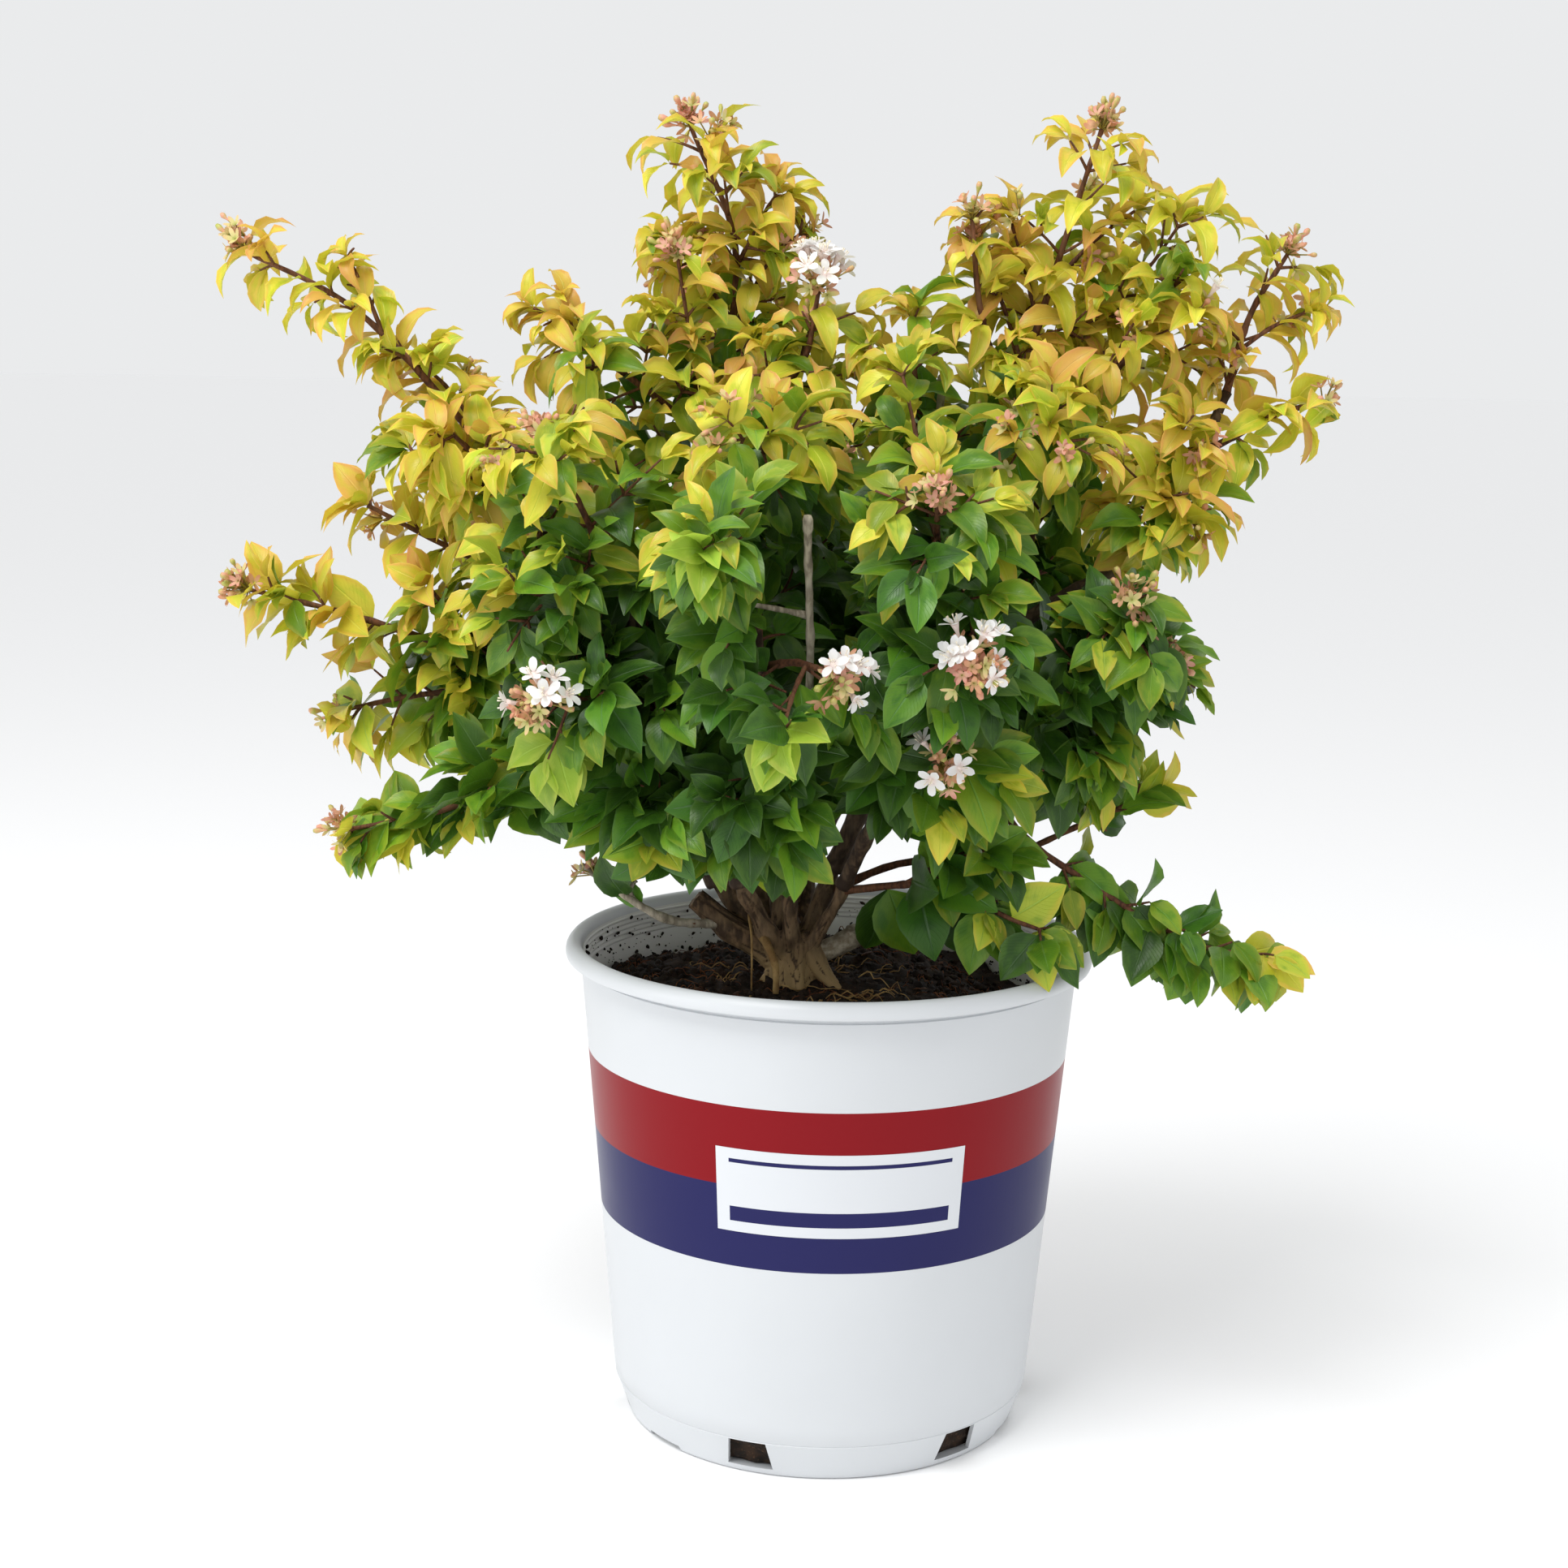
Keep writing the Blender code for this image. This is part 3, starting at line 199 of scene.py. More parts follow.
def shaped(name, points, blocks, finishes, places=None):
    """A mesh object from points (n, 3) and blocks of faces (m, corners). Places gives each face its
    finish."""
    blocks = [np.asarray(block, np.int32) for block in blocks if len(block)]
    sizes = np.concatenate([np.full(len(block), block.shape[1], np.int32) for block in blocks])
    corners = np.concatenate([block.ravel() for block in blocks])
    mesh = bpy.data.meshes.new(name)
    mesh.vertices.add(len(points))
    mesh.vertices.foreach_set("co", np.asarray(points, np.float32).ravel())
    mesh.loops.add(len(corners))
    mesh.loops.foreach_set("vertex_index", corners)
    mesh.polygons.add(len(sizes))
    mesh.polygons.foreach_set("loop_start", np.concatenate([[0], np.cumsum(sizes)[:-1]]).astype(np.int32))
    for finish in finishes:
        mesh.materials.append(finish.material)
    if places is not None:
        mesh.polygons.foreach_set("material_index", np.asarray(places, np.int32))
    mesh.update(calc_edges=True)
    mesh.shade_smooth()
    obj = bpy.data.objects.new(name, mesh)
    bpy.context.scene.collection.objects.link(obj)
    return obj


def around_axis(radii, turns, heights):
    """Points at a radius r, a turn t and a height z: (r cos t, r sin t, z)."""
    parts = np.broadcast_arrays(radii * np.cos(turns), radii * np.sin(turns), heights)
    return np.stack(parts, axis=-1).astype(float)


def full_turn(sides):
    return 2 * math.pi * np.arange(sides) / sides


def end_fans(rows, sides):
    """Triangles that close a grid of rings onto its two poles, the two points that follow it."""
    around = np.arange(sides)
    after = (around + 1) % sides
    last = (rows - 1) * sides
    low = np.stack([np.full(sides, rows * sides), after, around], axis=1)
    high = np.stack([last + around, last + after, np.full(sides, rows * sides + 1)], axis=1)
    return [low, high]


def turned(profile, sides):
    """Points and faces of a turned form. The profile runs from the axis below to the axis above,
    and each radius and height between them gives a ring."""
    profile = np.array(profile)
    radii, heights = profile[1:-1].T
    rings = around_axis(radii[:, None], full_turn(sides), heights[:, None])
    poles = [(0.0, 0.0, profile[0, 1]), (0.0, 0.0, profile[-1, 1])]
    blocks = [grid_faces(len(radii), sides, closed=True), *end_fans(len(radii), sides)]
    return np.concatenate([rings.reshape(-1, 3), poles]), blocks


def wall_radius(height):
    return np.interp(height, WALL_HEIGHTS, WALL_RADII)


def ripple(points, size, seed):
    """Smooth random numbers from -1 to 1. Each corner of a lattice of cells of the given size has
    a number hashed from its indices, and a point blends the eight numbers of its cell."""
    spot = np.asarray(points) / size + 4096.0
    low = np.floor(spot).astype(np.int64)
    part = spot - low
    part = part * part * (3 - 2 * part)
    total = np.zeros(spot.shape[:-1])
    for corner in range(8):
        step = np.array([corner & 1, corner >> 1 & 1, corner >> 2 & 1])
        cell = low + step
        mixed = cell[..., 0] * 73856093 ^ cell[..., 1] * 19349663 ^ cell[..., 2] * 83492791 ^ seed * 7919
        mixed = (mixed ^ mixed >> 13) * 1274126177
        mixed = (mixed ^ mixed >> 16) & 0xFFFF
        total += (mixed / 32767.5 - 1) * np.prod(np.where(step, part, 1 - part), axis=-1)
    return total


def pot_profile():
    """The pot from the middle of its underside, up the outside, over the rim and down inside."""
    heights = np.sort(np.concatenate([
        np.linspace(0.0030, FOOT_TOP, 9), np.linspace(0.030, 0.106, 8), np.linspace(0.125, 0.150, 3),
        np.linspace(0.168, 0.192, 3), np.linspace(0.212, 0.238, 4), BAND_EDGES,
    ]))
    outside = [(0.0, 0.0), (0.060, 0.0), (0.1034, 0.0), (0.1046, 0.0003), (wall_radius(0.0012), 0.0012)]
    for height in heights:
        outside.append((wall_radius(height), height))
        if height == FOOT_TOP:
            outside += [(wall_radius(MOULD_LINE) - MOULD_DEPTH, MOULD_LINE), (wall_radius(0.0209), 0.0209)]
    inside = []
    for i in range(RING_COUNT):
        height = RING_TOP - RING_STEP * i
        radius = RING_RADIUS - RING_LEAN * i
        inside += [(radius, height), (radius - RING_RELIEF, height - 0.0006)]
        inside += [(radius - RING_RELIEF, height - 0.0013), (radius, height - 0.0019)]
    inner = [(wall_radius(z) - WALL, z) for z in (0.238, 0.225, 0.190, 0.130, 0.070, 0.020, POT_FLOOR)]
    return outside, [*RIM_OUTSIDE, *inside, *inner, (0.060, POT_FLOOR), (0.0, POT_FLOOR)]


def foot_cutters():
    """Wedges that cut the windows and arches: eight corners each, narrower above than below."""
    turns = WINDOW_FIRST - math.pi / 2 + full_turn(WINDOW_COUNT)
    sizes = [(turn, WINDOW_HEIGHTS, WINDOW_HALF_WIDTHS) for turn in turns]
    arch_turns = ARCH_FIRST - math.pi / 2 + full_turn(ARCH_COUNT)
    sizes += [(turn, (-ARCH_HEIGHT, ARCH_HEIGHT), ARCH_HALF_WIDTHS) for turn in arch_turns]
    points = []
    for turn, heights, halves in sizes:
        out = np.array([math.cos(turn), math.sin(turn), 0.0])
        across = np.array([-out[1], out[0], 0.0])
        for height, half in zip(heights, halves):
            level = np.array([0.0, 0.0, height])
            for radius, hand in ((0, -1), (1, -1), (1, 1), (0, 1)):
                points.append(out * CUT_RADII[radius] + across * half * hand + level)
    box = np.array([(0, 3, 2, 1), (4, 5, 6, 7), (0, 1, 5, 4), (1, 2, 6, 5), (2, 3, 7, 6), (3, 0, 4, 7)])
    return np.array(points), [np.concatenate([box + 8 * i for i in range(len(sizes))])]


def as_rendered(obj):
    """The object's mesh with its modifiers carried out, on a new object; the old one is removed."""
    graph = bpy.context.evaluated_depsgraph_get()
    name = obj.name
    mesh = bpy.data.meshes.new_from_object(obj.evaluated_get(graph))
    bpy.data.objects.remove(obj)
    mesh.name = name
    made = bpy.data.objects.new(name, mesh)
    bpy.context.scene.collection.objects.link(made)
    return made


def plastic(name, colour, roughness, gloss):
    """Smooth moulded plastic: faint clouds in its colour and sheen, and a fine orange-peel skin."""
    finish = Finish(name, {"IOR": 1.49, "Specular IOR Level": gloss})
    clouds = finish.noise(finish.place(), 14.0)
    darker = tuple(part * 0.93 for part in colour[:3])
    finish.feed("Base Color", finish.mix(clouds, (*darker, 1.0), colour))
    finish.feed("Roughness", finish.noise(finish.place(), 35.0) * 0.10 + roughness)
    finish.bump(finish.noise(finish.place(), 900.0, 2.0), 0.06, 0.0002)
    return finish


white_plastic = plastic("white_plastic", tint(207, 210, 213), 0.34, 0.5)
crimson_print = plastic("crimson_print", tint(132, 12, 22), 0.26, 0.14)
navy_print = plastic("navy_print", tint(36, 36, 86), 0.26, 0.14)
# The inside wall is the same white plastic, painted lighter as painted light, to make up for the shade that
# falls inside the pot.
inner_plastic_painted_lighter = plastic("inner_plastic_painted_lighter", tint(232, 231, 227), 0.40, 0.4)

outside_rows, inside_rows = pot_profile()
pot_points, pot_blocks = turned(outside_rows + inside_rows, POT_SIDES)
face_heights = pot_points[pot_blocks[0]][:, :, 2].mean(axis=1)
on_outside = np.arange(len(face_heights)) < (len(outside_rows) - 2) * POT_SIDES
pot_places = np.zeros(sum(map(len, pot_blocks)), int)
for number, (low_edge, high_edge) in enumerate(zip(BAND_EDGES, BAND_EDGES[1:]), start=1):
    in_band = on_outside & (face_heights > low_edge) & (face_heights < high_edge)
    pot_places[: len(face_heights)][in_band] = number
first_inner = (len(outside_rows) + len(RIM_OUTSIDE) - 2) * POT_SIDES
pot_places[first_inner : len(face_heights)] = 3
pot_places[-POT_SIDES:] = 3
pot_finishes = [white_plastic, navy_print, crimson_print, inner_plastic_painted_lighter]
pot = shaped("nursery_pot", pot_points, pot_blocks, pot_finishes, pot_places)
cutter_points, cutter_blocks = foot_cutters()
cutters = shaped("foot_cutters", cutter_points, cutter_blocks, [white_plastic])
cut = pot.modifiers.new("windows", "BOOLEAN")
cut.operation = "DIFFERENCE"
cut.object = cutters
cut.solver = "EXACT"
pot = as_rendered(pot)
bpy.data.objects.remove(cutters)
pot.data.set_sharp_from_angle(angle=CRISP)
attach(pot, "root")
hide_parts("pot")

# Label plate. A printed white panel that follows the curve of the wall, a little right of the front.
# It is left bare: one thin navy line near its top and one plain navy bar near its foot.
PLATE_TURN = math.radians(-85.8)
PLATE_HALF_TURN = math.radians(29.5)
PLATE_HEIGHTS = (0.1349, 0.1790)
PLATE_PROUD = 0.00022
PLATE_THICK = 0.0006
LINE_HEIGHTS = (0.1715, 0.1736)
BAR_HEIGHTS = (0.1405, 0.1483)
PRINT_MARGIN = math.radians(3.2)

plate_turns = np.sort(np.concatenate([
    PLATE_TURN + np.linspace(-PLATE_HALF_TURN, PLATE_HALF_TURN, 49),
    PLATE_TURN + np.array([PRINT_MARGIN - PLATE_HALF_TURN, PLATE_HALF_TURN - PRINT_MARGIN]),
]))
plate_heights = np.sort(np.concatenate([np.linspace(*PLATE_HEIGHTS, 9), LINE_HEIGHTS, BAR_HEIGHTS]))
plate_radii = wall_radius(plate_heights)[:, None] + PLATE_PROUD
plate_points = around_axis(plate_radii, plate_turns, plate_heights[:, None])
plate_faces = grid_faces(len(plate_heights), len(plate_turns))
row_middles = np.repeat((plate_heights[1:] + plate_heights[:-1]) / 2, len(plate_turns) - 1)
turn_middles = np.tile((plate_turns[1:] + plate_turns[:-1]) / 2, len(plate_heights) - 1)
printed = np.abs(turn_middles - PLATE_TURN) < PLATE_HALF_TURN - PRINT_MARGIN
in_line = (row_middles > LINE_HEIGHTS[0]) & (row_middles < LINE_HEIGHTS[1])
in_bar = (row_middles > BAR_HEIGHTS[0]) & (row_middles < BAR_HEIGHTS[1])
plate = shaped(
    "label_plate", plate_points.reshape(-1, 3), [plate_faces],
    [plastic("plate_white", tint(214, 217, 221), 0.30, 0.4), navy_print], printed & (in_line | in_bar),
)
thicken = plate.modifiers.new("thickness", "SOLIDIFY")
thicken.thickness = PLATE_THICK
thicken.offset = -1.0
plate = as_rendered(plate)
plate.data.set_sharp_from_angle(angle=CRISP)
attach(plate, "root")

# Potting mix. Dark peat and composted bark, level round the plant and sunken along the wall, lowest
# on the right. Crumbs, chips and reddish fibres lie on it, and specks cling to the pot.
SOIL_HEIGHT = 0.240
SOIL_WALL_DROP = 0.014
SOIL_RIGHT_DROP = 0.012
SOIL_LEVEL_REACH = 0.062
SOIL_LOWEST_TURN = -0.35
SOIL_FOOT = 0.0046
SOIL_SIDES = 200
SOIL_RINGS = 62
SOIL_LUMPS = ((0.020, 1, 0.0032), (0.0075, 2, 0.0022), (0.0028, 3, 0.0012))
MOUND_PLACE = (0.028, 0.082)
MOUND_SPREAD = (0.046, 0.040)
MOUND_HEIGHT = 0.012
CRUMB_COUNT = 2600
CHIP_COUNT = 90
SPECK_COUNT = 900
SPECK_REACH = 0.125
SPECK_RISE = 0.026
SPECK_TOP = 0.2520
FIBRE_COUNT = 170
BED_REACH = 0.118
THREAD_REACH = 0.119
CROWN = np.array([-0.018, -0.018, 0.2403])


def soil_level(points):
    """Height of the mix: level in the middle, falling towards the wall by the power 1.5 of the
    way there, and further on the right."""
    x, y = points[..., 0], points[..., 1]
    away = np.hypot(x - CROWN[0], y - CROWN[1])
    fall = np.clip((away - SOIL_LEVEL_REACH) / SOIL_LEVEL_REACH, 0, 1)
    right = np.clip(np.cos(np.arctan2(y, x) - SOIL_LOWEST_TURN), 0, None)
    return SOIL_HEIGHT - fall**1.5 * (SOIL_WALL_DROP + SOIL_RIGHT_DROP * right)


def soil_surface(points):
    """The mix with its lumps: three sizes of ripple on the level, and a low mound behind the plant."""
    flat = points.copy()
    flat[..., 2] = 0.0
    lumps = sum(ripple(flat, size, seed) * height for size, seed, height in SOIL_LUMPS)
    off = (flat[..., :2] - MOUND_PLACE) / MOUND_SPREAD
    return soil_level(points) + lumps + MOUND_HEIGHT * np.exp(-(off**2).sum(axis=-1))


def unit(vectors):
    return vectors / np.linalg.norm(vectors, axis=-1, keepdims=True)


def repeated(faces, count, size):
    """The faces of a form once for each of its copies, whose points follow on from one another."""
    return (faces[None] + (np.arange(count) * size)[:, None, None]).reshape(-1, faces.shape[1])


def scattered(form, faces, spots, axes, sizes):
    """Copies of a small form (k, 3): each is scaled along its own three axes and moved to its spot."""
    points = np.einsum("kc,ncd,nc->nkd", form, axes, sizes) + spots[:, None]
    return points.reshape(-1, 3), repeated(faces, len(spots), len(form))


def random_axes(count, rng):
    """Square sets of three directions, turned at random."""
    first = unit(rng.normal(size=(count, 3)))
    second = unit(np.cross(first, rng.normal(size=(count, 3))))
    return np.stack([first, second, np.cross(first, second)], axis=1)


def tubes(paths, radii, sides, relief=None):
    """Round limbs along paths (n, k, 3) with radii (n, k). Each station has a ring square to the
    path, quads join the rings, and a fan closes each end. Relief (height, size, stretch, seed)
    pushes every point out or in by a ripple."""
    count, stations = radii.shape
    run = unit(np.gradient(paths, axis=1))
    guide = np.eye(3)[np.abs(paths[:, -1] - paths[:, 0]).argmin(axis=1)][:, None]
    side = unit(np.cross(run, guide))
    level = np.cross(run, side)
    turns = full_turn(sides)
    outward = np.cos(turns)[:, None] * side[:, :, None] + np.sin(turns)[:, None] * level[:, :, None]
    rings = paths[:, :, None] + outward * radii[:, :, None, None]
    if relief:
        height, size, stretch, seed = relief
        rings = rings + outward * (height * ripple(rings * np.array(stretch), size, seed))[..., None]
    ends = paths[:, [0, -1]]
    points = np.concatenate([rings.reshape(count, -1, 3), ends], axis=1)
    forms = (grid_faces(stations, sides, closed=True), np.concatenate(end_fans(stations, sides)))
    return points.reshape(-1, 3), [repeated(form, count, points.shape[1]) for form in forms]


def together(parts):
    """Several sets of points and face blocks as one."""
    points, blocks, start = [], [], 0
    for part_points, part_blocks in parts:
        points.append(part_points)
        blocks += [np.asarray(block) + start for block in part_blocks]
        start += len(part_points)
    return np.concatenate(points), blocks


def earth(name, dark, light, scale):
    """Damp crumbled earth: dull, in two close tones with a few paler grains."""
    finish = Finish(name, {"Specular IOR Level": 0.25})
    place = finish.place()
    clouds = finish.step(finish.noise(place, scale, 6.0), 0.35, 0.75)
    grains = finish.step(finish.noise(place, scale * 6.0, 2.0), 0.62, 0.72)
    finish.feed("Base Color", finish.mix(grains * 0.5, finish.mix(clouds, dark, light), tint(112, 82, 58)))
    finish.feed("Roughness", clouds * 0.15 + 0.82)
    finish.bump(finish.noise(place, scale * 3.0, 8.0), 0.7, 0.0012)
    return finish


peat = earth("peat", tint(24, 18, 14), tint(56, 41, 30), 160.0)
bark_chips = earth("bark_chips", tint(62, 38, 26), tint(104, 72, 48), 240.0)
soil_rng = np.random.default_rng(11)

ring_share = np.linspace(0, 1, SOIL_RINGS)[1:]
soil_turns = full_turn(SOIL_SIDES)
edge_radius = wall_radius(SOIL_HEIGHT - SOIL_WALL_DROP) - WALL - 0.0012
top = around_axis(ring_share[:, None] * edge_radius, soil_turns, 0.0)
top[..., 2] = soil_surface(top)
side_heights = np.concatenate([np.linspace(0.205, 0.034, 12), np.linspace(0.030, SOIL_FOOT, 16)])
side_radii = (wall_radius(side_heights) - WALL - 0.0006)[:, None]
side_wall = around_axis(side_radii, soil_turns, side_heights[:, None])
dents = 0.5 + 0.5 * ripple(side_wall, 0.0035, 5)
side_wall[..., :2] *= (1 - 0.030 * dents)[..., None]
soil_grid = np.concatenate([side_wall[::-1], top[::-1]])
soil_poles = [(0, 0, SOIL_FOOT), (0, 0, soil_surface(np.zeros((1, 3)))[0])]
soil_points = np.concatenate([soil_grid.reshape(-1, 3), soil_poles])
soil_blocks = [grid_faces(len(soil_grid), SOIL_SIDES, closed=True), *end_fans(len(soil_grid), SOIL_SIDES)]
soil = shaped("potting_mix_bed", soil_points, soil_blocks, [peat])
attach(soil, "root")
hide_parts("potting_mix")


def on_soil(count, rng, inner=0.0, outer=BED_REACH):
    """Places spread evenly over the bed between two radii, at the height of its surface."""
    radius = np.sqrt(rng.uniform(inner**2, outer**2, count))
    spots = around_axis(radius, rng.uniform(0, 2 * math.pi, count), 0.0)
    spots[:, 2] = soil_surface(spots)
    return spots


def ragged_sizes(count, least, spread, power, uneven, rng):
    """Sizes along three axes, most of them small: least + spread u**power, each axis made uneven."""
    return least + spread * rng.random((count, 1)) ** power * rng.uniform(*uneven, (count, 3))


golden = (1 + math.sqrt(5)) / 2
LUMP = unit(np.array([
    (-1, golden, 0), (1, golden, 0), (-1, -golden, 0), (1, -golden, 0), (0, -1, golden), (0, 1, golden),
    (0, -1, -golden), (0, 1, -golden), (golden, 0, -1), (golden, 0, 1), (-golden, 0, -1), (-golden, 0, 1),
], float))
LUMP_FACES = np.array([
    (0, 11, 5), (0, 5, 1), (0, 1, 7), (0, 7, 10), (0, 10, 11), (1, 5, 9), (5, 11, 4), (11, 10, 2),
    (10, 7, 6), (7, 1, 8), (3, 9, 4), (3, 4, 2), (3, 2, 6), (3, 6, 8), (3, 8, 9), (4, 9, 5),
    (2, 4, 11), (6, 2, 10), (8, 6, 7), (9, 8, 1),
])
LUMP = LUMP * (1 + 0.25 * soil_rng.normal(size=(12, 1)))
crumb_spots = on_soil(CRUMB_COUNT, soil_rng)
crumb_sizes = ragged_sizes(CRUMB_COUNT, 0.0006, 0.0030, 3, (0.5, 1.1), soil_rng)
speck_turns = soil_rng.uniform(0, 2 * math.pi, SPECK_COUNT)
by_wall = soil_level(around_axis(SPECK_REACH, speck_turns, 0.0))
speck_heights = np.minimum(by_wall + SPECK_RISE * soil_rng.random(SPECK_COUNT) ** 1.8, SPECK_TOP)
speck_spots = around_axis(wall_radius(speck_heights) - WALL - 0.0002, speck_turns, speck_heights)
speck_sizes = ragged_sizes(SPECK_COUNT, 0.00028, 0.0017, 4, (0.3, 1.2), soil_rng)
crumbs = together([
    (points, [faces]) for points, faces in (
        scattered(LUMP, LUMP_FACES, crumb_spots, random_axes(CRUMB_COUNT, soil_rng), crumb_sizes),
        scattered(LUMP, LUMP_FACES, speck_spots, random_axes(SPECK_COUNT, soil_rng), speck_sizes),
    )
])
crumb_piece = shaped("potting_mix_crumbs", *crumbs, [peat])
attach(crumb_piece, "root")

chip_spots = on_soil(CHIP_COUNT, soil_rng) + np.array([0, 0, 0.0006])
chip_axes = random_axes(CHIP_COUNT, soil_rng)
chip_axes[:, 2] = unit(chip_axes[:, 2] * 0.35 + np.array([0, 0, 1.0]))
chip_axes[:, 0] = unit(np.cross(chip_axes[:, 1], chip_axes[:, 2]))
chip_axes[:, 1] = np.cross(chip_axes[:, 2], chip_axes[:, 0])
chip_sizes = soil_rng.uniform((0.0022, 0.0012, 0.0004), (0.0052, 0.0026, 0.0008), (CHIP_COUNT, 3))
chip_points, chip_faces = scattered(LUMP, LUMP_FACES, chip_spots, chip_axes, chip_sizes)
chips = shaped("bark_chips", chip_points, [chip_faces], [bark_chips])
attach(chips, "root")


def trailing_threads(starts, headings, lengths, radius, rng, lift):
    """Threads that wander over the bed: each keeps turning a little and follows its surface."""
    stations = 14
    count = len(starts)
    turn = headings[:, None] + np.cumsum(rng.normal(0, 0.32, (count, stations)), axis=1)
    moves = np.stack([np.cos(turn), np.sin(turn), 0 * turn], axis=-1) * (lengths / stations)[:, None, None]
    paths = starts[:, None] + np.cumsum(moves, axis=1) - moves[:, :1]
    reach = np.hypot(paths[..., 0], paths[..., 1])
    paths[..., :2] *= np.minimum(1.0, THREAD_REACH / np.maximum(reach, 1e-6))[..., None]
    humps = np.abs(np.sin(np.linspace(0, 3 * math.pi, stations))) * rng.uniform(0, lift, (count, 1))
    paths[..., 2] = soil_surface(paths) + radius * 0.8 + humps
    return paths, radius * np.linspace(1.0, 0.45, stations) * np.ones((count, 1))


fibre_paths, fibre_radii = trailing_threads(
    on_soil(FIBRE_COUNT, soil_rng, 0.035, 0.112), soil_rng.uniform(0, 2 * math.pi, FIBRE_COUNT),
    soil_rng.uniform(0.008, 0.030, FIBRE_COUNT), 0.00028, soil_rng, 0.003,
)
fibre_finish = earth("peat_fibre", tint(96, 52, 30), tint(142, 92, 54), 90.0)
fibres = shaped("peat_fibres", *tubes(fibre_paths, fibre_radii, 4), [fibre_finish])
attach(fibres, "root")

# Woody crown. The old foot of the shrub: a low gnarled stool of tan wood that flares onto the mix
# and forks into arms, with two pruned stubs. Its thin bark is cracked lengthwise.
STOOL = ((0.0150, -0.005), (0.0138, 0.002), (0.0122, 0.010), (0.0118, 0.020), (0.0085, 0.026))
TOE_COUNT = 4
TOE_RADII = (0.0070, 0.0024)
LONG_TOE_TURN = math.radians(-28)
LONG_TOE_REACH = 0.028
ARM_STATIONS = 16
ARM_SIDES = 14
SLIMMED = 0.84
FIBRE_WIDTH = 0.0026
FIBRE_STRETCH = 0.13
FOOT_HEIGHTS = (0.245, 0.266)
SKIN_VOXEL = 0.0008
CRACK_DEPTH = 0.0006
LUMP_HEIGHT = 0.0014
STUB_STATIONS = (0, 8, 13, 14, 15)
STUB_RADII = (0.0062, 0.0054, 0.0062, 0.0068, 0.0050)
ARMS = {
    "arm_left": ((-0.060, -0.002, 0.294), 0.0110, 0.0080),
    "arm_left_back": ((-0.046, 0.018, 0.298), 0.0085, 0.0060),
    "arm_front_left": ((-0.047, -0.038, 0.298), 0.0075, 0.0055),
    "arm_centre": ((-0.030, 0.000, 0.304), 0.0095, 0.0065),
    "arm_front": ((-0.022, -0.040, 0.302), 0.0065, 0.0045),
    "arm_right": ((0.002, -0.006, 0.300), 0.0070, 0.0055),
    "arm_front_right": ((0.008, -0.032, 0.296), 0.0055, 0.0042),
    "arm_back": ((-0.010, 0.024, 0.298), 0.0070, 0.0050),
}
CUT_STUBS = {
    "stub_left": ((-0.071, -0.020, 0.283), 0.0100, 0.0085),
    "stub_right": ((0.014, -0.016, 0.264), 0.0080, 0.0075),
}


class Limb:
    """A limb: the points along its middle and its radius at each."""

    def __init__(self, path, radii):
        self.path = path
        self.radii = radii

    def at(self, share):
        """Point, direction and radius at a share of the length."""
        place = share * (len(self.path) - 1)
        low = min(int(place), len(self.path) - 2)
        part = place - low
        point = self.path[low] * (1 - part) + self.path[low + 1] * part
        radius = self.radii[low] * (1 - part) + self.radii[low + 1] * part
        return point, unit(self.path[low + 1] - self.path[low]), radius

    def length(self):
        return float(np.linalg.norm(np.diff(self.path, axis=0), axis=1).sum())


def smooth_path(points, count):
    """Centripetal Catmull-Rom curve through the points, as count points evenly spaced on it."""
    knots = np.array(points, float)
    knots = np.vstack([2 * knots[0] - knots[1], knots, 2 * knots[-1] - knots[-2]])
    times = np.concatenate([[0], np.cumsum(np.sqrt(np.linalg.norm(np.diff(knots, axis=0), axis=1)))])
    dense = []
    for i in range(1, len(knots) - 2):
        t0, t1, t2, t3 = times[i - 1 : i + 3]
        p0, p1, p2, p3 = knots[i - 1 : i + 3]
        t = np.linspace(t1, t2, 24)[:, None]
        a1 = (t1 - t) / (t1 - t0) * p0 + (t - t0) / (t1 - t0) * p1
        a2 = (t2 - t) / (t2 - t1) * p1 + (t - t1) / (t2 - t1) * p2
        a3 = (t3 - t) / (t3 - t2) * p2 + (t - t2) / (t3 - t2) * p3
        b1 = (t2 - t) / (t2 - t0) * a1 + (t - t0) / (t2 - t0) * a2
        b2 = (t3 - t) / (t3 - t1) * a2 + (t - t1) / (t3 - t1) * a3
        dense.append((t2 - t) / (t2 - t1) * b1 + (t - t1) / (t2 - t1) * b2)
    dense = np.vstack(dense)
    run = np.concatenate([[0], np.cumsum(np.linalg.norm(np.diff(dense, axis=0), axis=1))])
    wanted = np.linspace(0, run[-1], count)
    return np.column_stack([np.interp(wanted, run, dense[:, k]) for k in range(3)])


def along_wood(points, paths):
    """Places in the wood's own frame: how far a point lies off the nearest path, kept as it is, and
    how far along that path, shortened so that the fibres come out long."""
    stations = paths.reshape(-1, 3)
    runs = np.cumsum(np.linalg.norm(np.diff(paths, axis=1, prepend=paths[:, :1]), axis=2), axis=1)
    ways = unit(np.gradient(paths, axis=1)).reshape(-1, 3)
    gaps = (points**2).sum(axis=1)[:, None] + (stations**2).sum(axis=1) - 2 * points @ stations.T
    nearest = gaps.argmin(axis=1)
    off = points - stations[nearest]
    past = (off * ways[nearest]).sum(axis=1)
    off = off - past[:, None] * ways[nearest]
    limb = nearest // paths.shape[1]
    along = (runs.ravel()[nearest] + past) * FIBRE_STRETCH + limb * 0.05
    return off + along[:, None] * np.array([0.2, 0.3, 1.0])


